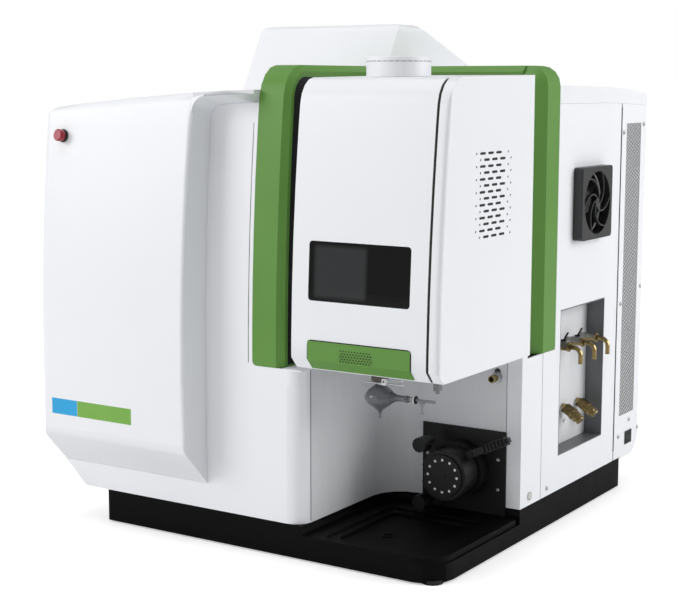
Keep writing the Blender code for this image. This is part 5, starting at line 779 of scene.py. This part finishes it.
def spray_chamber():
    """Blown glass chamber: a lens-shaped bulb with its neck, side arm and drain."""
    bulb = [(0.0, 0.304), (0.0055, 0.304), (0.0055, 0.2905), (0.0065, 0.2878), (0.0115, 0.2838)]
    bulb += [(0.0180, 0.2785), (0.0228, 0.2725), (0.0243, 0.2676), (0.0236, 0.2630), (0.0200, 0.2572)]
    bulb += [(0.0140, 0.2523), (0.0080, 0.2482), (0.0040, 0.2450), (0.0026, 0.2415), (0.0022, 0.2360)]
    bulb += [(0.0026, 0.2335), (0.0022, 0.2322), (0.0, 0.2322)]
    arm = [(0.0, 0.0), (0.0105, 0.0), (0.0080, 0.004), (0.0056, 0.009), (0.0050, 0.016)]
    arm += [(0.0050, 0.026), (0.0057, 0.027), (0.0057, 0.0305), (0.0046, 0.032), (0.0, 0.032)]
    parts = [
        stood(turned(bulb, 40), (CHAMBER_X, CHAMBER_Y, 0.0)),
        stood(turned(arm, 24), (-0.1262, CHAMBER_Y, 0.2680), (1, 0, 0.02)),
    ]
    show("spray_bulb", gathered(parts), ["glass"], "housing", ["spray_chamber"])
    profile = ring(0.0030, (0.0061, 0.0), (0.0064, 0.0004), (0.0064, 0.0016), (0.0061, 0.0020))
    for name, key, x in (("white", "acetal", -0.0850), ("black", "gasket", -0.0828)):
        tee_ring = stood(turned(profile, 24), (x, CHAMBER_Y, 0.2690), (1, 0, 0))
        show("tee_ring_" + name, tee_ring, [key], "housing")


def gas_port():
    """Bulkhead fitting in the bay: steel flange, hex nut and a brass bush round a dark bore."""
    flange = ring(0.0045, (0.0093, 0.0), (0.0093, 0.0020), (0.0086, 0.0026))
    nut = ring(0.0045, (0.0090, 0.0), (0.0090, 0.0080), (0.0080, 0.0092))
    bush = [(0.0040, 0.0), (0.0064, 0.0), (0.0064, 0.0220), (0.0060, 0.0240), (0.0046, 0.0240)]
    bush += [(0.0040, 0.0225), (0.0040, 0.0)]
    bore = [(0.0, 0.0), (0.0041, 0.0), (0.0041, 0.0005), (0.0, 0.0005)]

    def fitted(profile, steps, y):
        return stood(turned(profile, steps), (PORT_X, y, PORT_Z), (0, -1, 0))

    steel = [fitted(flange, 28, 0.2755), fitted(nut, 6, 0.2730)]
    show("port_nut", gathered(steel), ["steel"], "housing", ["bay_gas_port"])
    show("port_bush", fitted(bush, 24, 0.2750), ["brass"], "housing")
    show("port_bore", fitted(bore, 20, 0.2570), ["gasket"], "housing")


def fitting_rings():
    """Rings, bores, clips and end collars of the brass fittings in the service recess."""
    slope = 0.60
    along = Vector((math.cos(slope), 0, -math.sin(slope)))
    rim = ring(0.0040, (0.0083, 0.0), (0.0086, 0.0006), (0.0086, 0.0034), (0.0080, 0.0042))
    belt = ring(0.0090, (0.0106, 0.0), (0.0108, 0.0005), (0.0108, 0.0035), (0.0106, 0.0040))
    bore = [(0.0, 0.0), (0.0041, 0.0), (0.0041, 0.0006), (0.0, 0.0006)]
    collars, bores, clips = [], [], []
    for y in (0.505, 0.566):
        root = Vector((-0.0247, y, 0.183))
        collars.append(stood(turned(rim, 24), root + along * 0.0296, along))
        collars.append(stood(turned(belt, 12), root + along * 0.0135, along))
        bores.append(stood(turned(bore, 18), root + along * 0.0325, along))
        clip = []
        for angle in (2.3, 2.7, 3.1, 3.5, 3.9):
            x = root.x + 0.004 + 0.012 * math.cos(angle)
            clip.append((x, y - 0.0125, 0.176 + 0.014 * math.sin(angle)))
        clips.append(strip(clip, [(x + 0.0016, v, z) for x, v, z in clip], (0, 0.0012, 0)))
    show("water_collars", gathered(collars), ["brass"], "housing")
    show("water_bores", gathered(bores), ["gasket"], "housing")
    show("water_clips", gathered(clips), ["steel"], "housing")
    rose = ring(0.0060, (0.0080, 0.0), (0.0084, 0.0006), (0.0084, 0.0026), (0.0078, 0.0034))
    rings = [stood(turned(rose, 24), (-0.0040, y, 0.302), (1, 0, 0)) for y in (0.459, 0.5175, 0.576)]
    show("elbow_rings", gathered(rings), ["brass"], "housing")


def panel_joints():
    """Thin dark joint lines between the column, the side panel and the bay."""
    lines = []
    for one, other, low, high, thick in (
        ((0.0001, 0.3496), (0.0001, 0.3506), 0.0575, 0.3075, (-0.0012, 0, 0)),
        ((-0.0276, 0.2729), (-0.0267, 0.2729), 0.1860, 0.3150, (0, 0.0012, 0)),
        ((-0.2488, 0.0262), (-0.2488, 0.0271), 0.0600, 0.3055, (-0.0012, 0, 0)),
    ):
        lines.append(strip([(*one, low), (*one, high)], [(*other, low), (*other, high)], thick))
    show("panel_joints", gathered(lines), ["gasket"], "housing")


def door_seam():
    """Black seal that fills the seam between the torch door and the cheek."""
    steps, rise = 16, 0.389

    def side(inset):
        front = -0.023 + inset
        radius = 0.039 - inset
        points = [(0.200, 0.316 + inset), (front + 0.016, 0.316 + inset), (front, 0.334)]
        points += [(front, 0.334 + rise * step / steps) for step in range(1, steps)]
        points += arc((front + radius, 0.762 - inset - radius), radius, 180, 90)
        points.append((0.281 - inset, 0.7665 - inset))
        return [(-0.0122, lean(y, z), z) for y, z in points]

    seal = strip(side(0.0012), side(0.009), (0.0039, 0, 0))
    show("door_seal", seal, ["gasket"], "housing")


def band_shadow_strip():
    """Black strip on the left band's inner side, beside the torch box: a painted shadow where the box
    shades the band.
    """
    steps, rise = 16, 0.420

    def line(depth):
        points = [(depth, 0.312 + rise * step / steps) for step in range(steps)]
        points += arc((0.050, 0.732), 0.050 - depth, 180, 90)
        points.append((0.320, 0.782 - depth))
        return [(-0.2875, lean(y, z), z) for y, z in points]

    # A thin black sheet, painted shadow in the gap between the band and the torch box.
    painted_shadow = strip(line(0.0185), line(0.0405), (0.0007, 0, 0))
    show("band_painted_shadow", painted_shadow, ["gasket"], "housing")


def bay_shelf():
    """Pale shelf over the bay's corner, in the gap between the left band and the torch box."""
    shelf = plate(-0.2873, -0.2492, 0.3062, 0.3082, 0.320, 0.0004)
    show("bay_shelf", stood(shelf, (0, 0.001, 0)), ["white_panel"], "housing")


def handle_reveal():
    """Dark line round the handle, and black dots over its grip: painted shade that stands in for the
    shading of the grip's pips.
    """
    shoulder, foot = 0.334, 0.3175

    def rim(out):
        left, right, top = -0.221 - out, -0.039 + out, 0.363 + out
        radius = 0.006 + out
        points = [(left + 0.008, foot), (left, shoulder)]
        points += arc((left + radius, top - radius), radius, 180, 90)
        points += arc((right - radius, top - radius), radius, 90, 0)
        points += [(right, shoulder), (right - 0.008, foot)]
        front = []
        for x, z in points:
            depth = -0.0233 + max(0.0, shoulder - z) * 16 / 18
            front.append((x, lean(depth, z), z))
        return front

    line = strip(rim(0.0), rim(0.0016), (0, 0.0012, 0))
    show("handle_reveal", line, ["gasket"], "door")
    # The dots below are painted shade: black discs that stand in for the shading of the grip's pips.
    spacing = 0.0052
    profile = [(0.0, 0.0002), (0.0011, 0.0002), (0.0013, -0.0004), (0.0, -0.0004)]
    painted_pip_shade = []
    for row, z in enumerate((0.3362, 0.3402, 0.3442, 0.3482, 0.3522)):
        for step in range(11):
            x = -0.161 + spacing * step + 0.0026 * (row % 2)
            painted_pip_shade.append(stood(turned(profile, 12), (x, lean(-0.0245, z), z), (0, -1, 0)))
    show("grip_painted_shade", gathered(painted_pip_shade), ["gasket"], "door")


def window_corners():
    """White fillets that round the sight window's four corners."""
    left, right, low, high, radius = -0.222, -0.042, 0.425, 0.5165, 0.0055
    corners = []
    for x, z, start in ((left, high, 90), (right, high, 0), (right, low, 270), (left, low, 180)):
        across, up = (1 if x == left else -1, 1 if z == low else -1)
        outer = (x - across * 0.0004, z - up * 0.0004)
        rim = arc((x + across * radius, z + up * radius), radius, start, start + 90)
        corner = pressed([outer] + rim, 0.0016)
        for vert in corner.verts:
            vert.co.y += lean(-0.0231, vert.co.z)
        corner.transform(Matrix.Translation(CORNER))
        corners.append(corner)
    show("window_corners", gathered(corners), ["white_panel"], "door")


def bezel_seam():
    """Dark joint line between the front bezel and the foot of the left band."""
    heights = [0.312 + 0.020 * step for step in range(20)]
    one, other = ([(x, lean(-0.0003, z), z) for z in heights] for x in (-0.3518, -0.3508))
    joint = strip(one, other, (0, 0.002, 0))
    show("bezel_joint", joint, ["grey_sheet"], "housing")


def collar_lip_shade():
    """Thin grey band, a little proud, under the exhaust collar's rim: painted shade that stands in for
    the shade under the rim's lip.
    """
    profile = [(0.0498, 0.0), (0.05, 0.0003), (0.05, 0.0009), (0.0498, 0.0012), (0.0490, 0.0012)]
    profile += [(0.0490, 0.0), (0.0498, 0.0)]
    # The grey band is painted shade under the collar's lip, not a cut groove.
    groove = stood(turned(profile, 64), (COLLAR_X, COLLAR_Y, 0.7862))
    show("collar_lip_shade", groove, ["grey_sheet"], "housing")


def slot_liners():
    """Black rubber liners in the cheek vent's slots."""
    spacing, long, radius = 0.0262, 0.0150, 0.0020
    liners = []
    for row in range(VENT_ROWS):
        z = VENT_TOP - VENT_PITCH * row
        for slot in range(3):
            low = 0.0995 + spacing * slot + 0.0131 * (row % 2)
            outline = arc((low + long, 0.0), radius, -90, 90, 6)
            outline += arc((low + radius, 0.0), radius, 90, 270, 6)
            liner = recast(pressed(outline, 0.0014), (0, -1, 0, 0.00902), (1, 0, 0, 0), (0, 0, 1, z))
            liner.transform(Matrix.Translation(CORNER))
            liners.append(liner)
    show("slot_liners", gathered(liners), ["gasket"], "housing")


def vent_liner():
    """Dark filter felt close behind the slots of the torch box's cheek."""
    felt = plate(0.085, 0.212, 0.505, 0.668, 0.0012, 0.0003)
    felt = recast(felt, (0, 1, 0, 0), (1, 0, 0, 0), (0, 0, 1, 0))
    show("vent_felt", stood(felt, (0.0045, 0, 0)), ["gasket"], "housing")


def vent_pinholes():
    """Small round holes at the ends of the slots' rows."""
    profile = [(0.0, 0.00002), (0.0018, 0.00002), (0.0020, -0.0006), (0.0, -0.0006)]
    holes = []
    for row in range(VENT_ROWS):
        z = VENT_TOP - VENT_PITCH * row
        for y in (0.0872, 0.1914) if row % 2 == 0 else (0.1002, 0.2010):
            holes.append(stood(turned(profile, 14), (0.009, y, z), (1, 0, 0)))
    show("vent_pinholes", gathered(holes), ["gasket"], "housing")


def lock_ring():
    """Browned steel ring round the lock's face, with its key slot."""
    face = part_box("column_lock")[1].x - CORNER.x
    profile = [(0.0050, -0.001), (0.0050, 0.0), (0.0056, 0.0005), (0.0066, 0.0005), (0.0072, 0.0)]
    profile += [(0.0072, -0.001), (0.0050, -0.001)]
    rim = stood(turned(profile), (face - 0.0004, LOCK_Y, LOCK_Z), (1, 0, 0))
    show("lock_ring", rim, ["dark_steel"], "lock")
    slot = plate(-0.0007, 0.0007, -0.0034, 0.0034, 0.0004)
    slot = recast(slot, (0, -1, 0, 0.0001), (1, 0, 0, 0), (0, 0, 1, 0))
    show("lock_slot", stood(slot, (face, LOCK_Y, LOCK_Z)), ["gasket"], "lock")


def recess_ring():
    """Small bare eyelet low on the recess plate."""
    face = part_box("service_recess_plate")[1].x - CORNER.x
    profile = [(0.0022, 0.0), (0.0042, 0.0), (0.0042, 0.0012), (0.0034, 0.0018), (0.0022, 0.0012)]
    profile.append((0.0022, 0.0))
    eyelet = stood(turned(profile), (face, 0.513, 0.159), (1, 0, 0))
    show("recess_eyelet", eyelet, ["steel"], "housing")


def chamber_clamp():
    """Knurled clamp ring, rods with end knobs and the white block over the spray chamber."""
    ribs, rim, groove = 48, 0.0130, 0.95
    profile = ring(0.0062, (0.0126, 0.0), (0.0136, 0.0008), (0.0136, 0.0072), (0.0126, 0.0080))
    clamp = turned(profile, ribs)
    for vert in clamp.verts:
        step = round(math.atan2(vert.co.y, vert.co.x) / math.tau * ribs)
        if step % 2 and vert.co.to_2d().length > rim:
            vert.co.x *= groove
            vert.co.y *= groove
    place = (CHAMBER_X, CHAMBER_Y, 0.2925)
    show("clamp_ring", stood(clamp, place), ["dark_steel"], "housing")
    rods = []
    for x, long, z in ((-0.1655, 0.0300, 0.2915), (-0.1300, 0.0330, 0.2995), (-0.1240, 0.0270, 0.2925)):
        profile = [(0.0, 0.0), (0.0022, 0.0), (0.0022, 0.0030), (0.0013, 0.0038)]
        profile += [(0.0013, long), (0.0, long)]
        rods.append(stood(turned(profile, 16), (x + long, 0.0540, z), (-1, 0, 0)))
    show("clamp_rods", gathered(rods), ["steel"], "housing")
    block = plate(-0.0038, 0.0038, -0.0050, 0.0050, 0.008, 0.0008)
    block = stood(block, (-0.1275, 0.0480, 0.2955))
    show("clamp_block", block, ["acetal"], "housing")
    dot = turned([(0.0, 0.0003), (0.0014, 0.0003), (0.0017, 0.0), (0.0, -0.0004)], 14)
    dot = stood(dot, (-0.1275, 0.0480, 0.2962), (0, -1, 0))
    show("clamp_dot", dot, ["gasket"], "housing")


for make in (
    front_label,
    corner_fillet,
    side_gasket,
    screws,
    roller_ends,
    vent_liner,
    vent_pinholes,
    lock_ring,
    recess_ring,
    chamber_clamp,
    spray_chamber,
    gas_port,
    fitting_rings,
    panel_joints,
    door_seam,
    band_shadow_strip,
    bay_shelf,
    handle_reveal,
    window_corners,
    bezel_seam,
    collar_lip_shade,
    slot_liners,
):
    make()


# Floor, light and camera


def backdrop():
    """Pale floor with the machine's soft shadow on it, which fades to white further out."""
    half_size, near, far, shadowed, white = 9.0, 0.55, 1.5, 0.42, 1.05
    shape = bmesh.new()
    bmesh.ops.create_grid(shape, x_segments=1, y_segments=1, size=half_size)
    mesh = bpy.data.meshes.new("studio_floor")
    shape.to_mesh(mesh)
    shape.free()
    floor = bpy.data.objects.new("studio_floor", mesh)
    bpy.context.scene.collection.objects.link(floor)
    # Matt white studio paper. Its glow is for the camera alone, and lights nothing.
    made, tree, shader, place = finish("studio_paper", 0.9)
    shader.inputs["Base Color"].default_value = srgb("F4F4F4")
    shader.inputs["Emission Color"].default_value = srgb("FFFFFF")
    ray = add(tree, "ShaderNodeLightPath")
    away = add(tree, "ShaderNodeVectorMath", {"operation": "LENGTH"}, {0: place})
    fade = {"From Min": near, "From Max": far, "To Min": shadowed, "To Max": white}
    glow = add(tree, "ShaderNodeMapRange", fade, {"Value": away.outputs["Value"]})
    both = {0: ray.outputs["Is Camera Ray"], 1: glow.outputs["Result"]}
    seen = add(tree, "ShaderNodeMath", {"operation": "MULTIPLY"}, both)
    tree.links.new(seen.outputs["Value"], shader.inputs["Emission Strength"])
    mesh.materials.append(made)


def softbox(name, place, target, size, power):
    """Square area lamp that faces a point."""
    data = bpy.data.lights.new(name, "AREA")
    data.shape = "SQUARE"
    data.size = size
    data.energy = power
    lamp = bpy.data.objects.new(name, data)
    lamp.location = place
    lamp.rotation_euler = (Vector(target) - Vector(place)).to_track_quat("-Z", "Y").to_euler()
    bpy.context.scene.collection.objects.link(lamp)


def studio():
    """Softboxes in a dim white room, which the camera sees as plain white."""
    room, plain = 0.36, 1.0
    world = bpy.data.worlds.new("studio")
    world.use_nodes = True
    tree = world.node_tree
    light = tree.nodes["Background"]
    light.inputs["Color"].default_value = srgb("FFFFFF")
    light.inputs["Strength"].default_value = room
    shown = add(tree, "ShaderNodeBackground", {"Color": srgb("FFFFFF"), "Strength": plain})
    ray = add(tree, "ShaderNodeLightPath")
    either = {0: ray.outputs["Is Camera Ray"], 1: ray.outputs["Is Transmission Ray"]}
    seen = add(tree, "ShaderNodeMath", {"operation": "MAXIMUM"}, either)
    ways = {0: seen.outputs["Value"], 1: light.outputs[0], 2: shown.outputs[0]}
    mix = add(tree, "ShaderNodeMixShader", {}, ways)
    tree.links.new(mix.outputs[0], tree.nodes["World Output"].inputs["Surface"])
    bpy.context.scene.world = world
    # Name, place, point that it faces, size in metres and power in watts
    softbox("front_left_softbox", (-2.6, -3.0, 2.0), (-0.1, 0.0, 0.45), 2.0, 71)
    softbox("right_softbox", (3.1, 1.5, 1.5), (0.1, 0.1, 0.4), 2.0, 66)
    softbox("overhead_softbox", (-0.2, -0.4, 3.4), (0.0, 0.0, 0.5), 2.4, 38)
    softbox("low_front_softbox", (-0.3, -3.2, 0.5), (0.2, -0.2, 0.3), 1.4, 7)
    bpy.context.scene.view_settings.view_transform = "Standard"


def camera():
    """Long lens at the photo's own place, as solved from the machine's edges."""
    azimuth, elevation = 33, 8.4
    data = bpy.data.cameras.new("photo_camera")
    data.sensor_width = 36.0
    data.lens = 79.8
    data.clip_end = 50.0
    item = bpy.data.objects.new("photo_camera", data)
    item.location = (1.4223, -2.26535, 0.7545)
    item.rotation_euler = (math.radians(90 - elevation), 0, math.radians(azimuth))
    bpy.context.scene.collection.objects.link(item)
    bpy.context.scene.camera = item


backdrop()
studio()
camera()
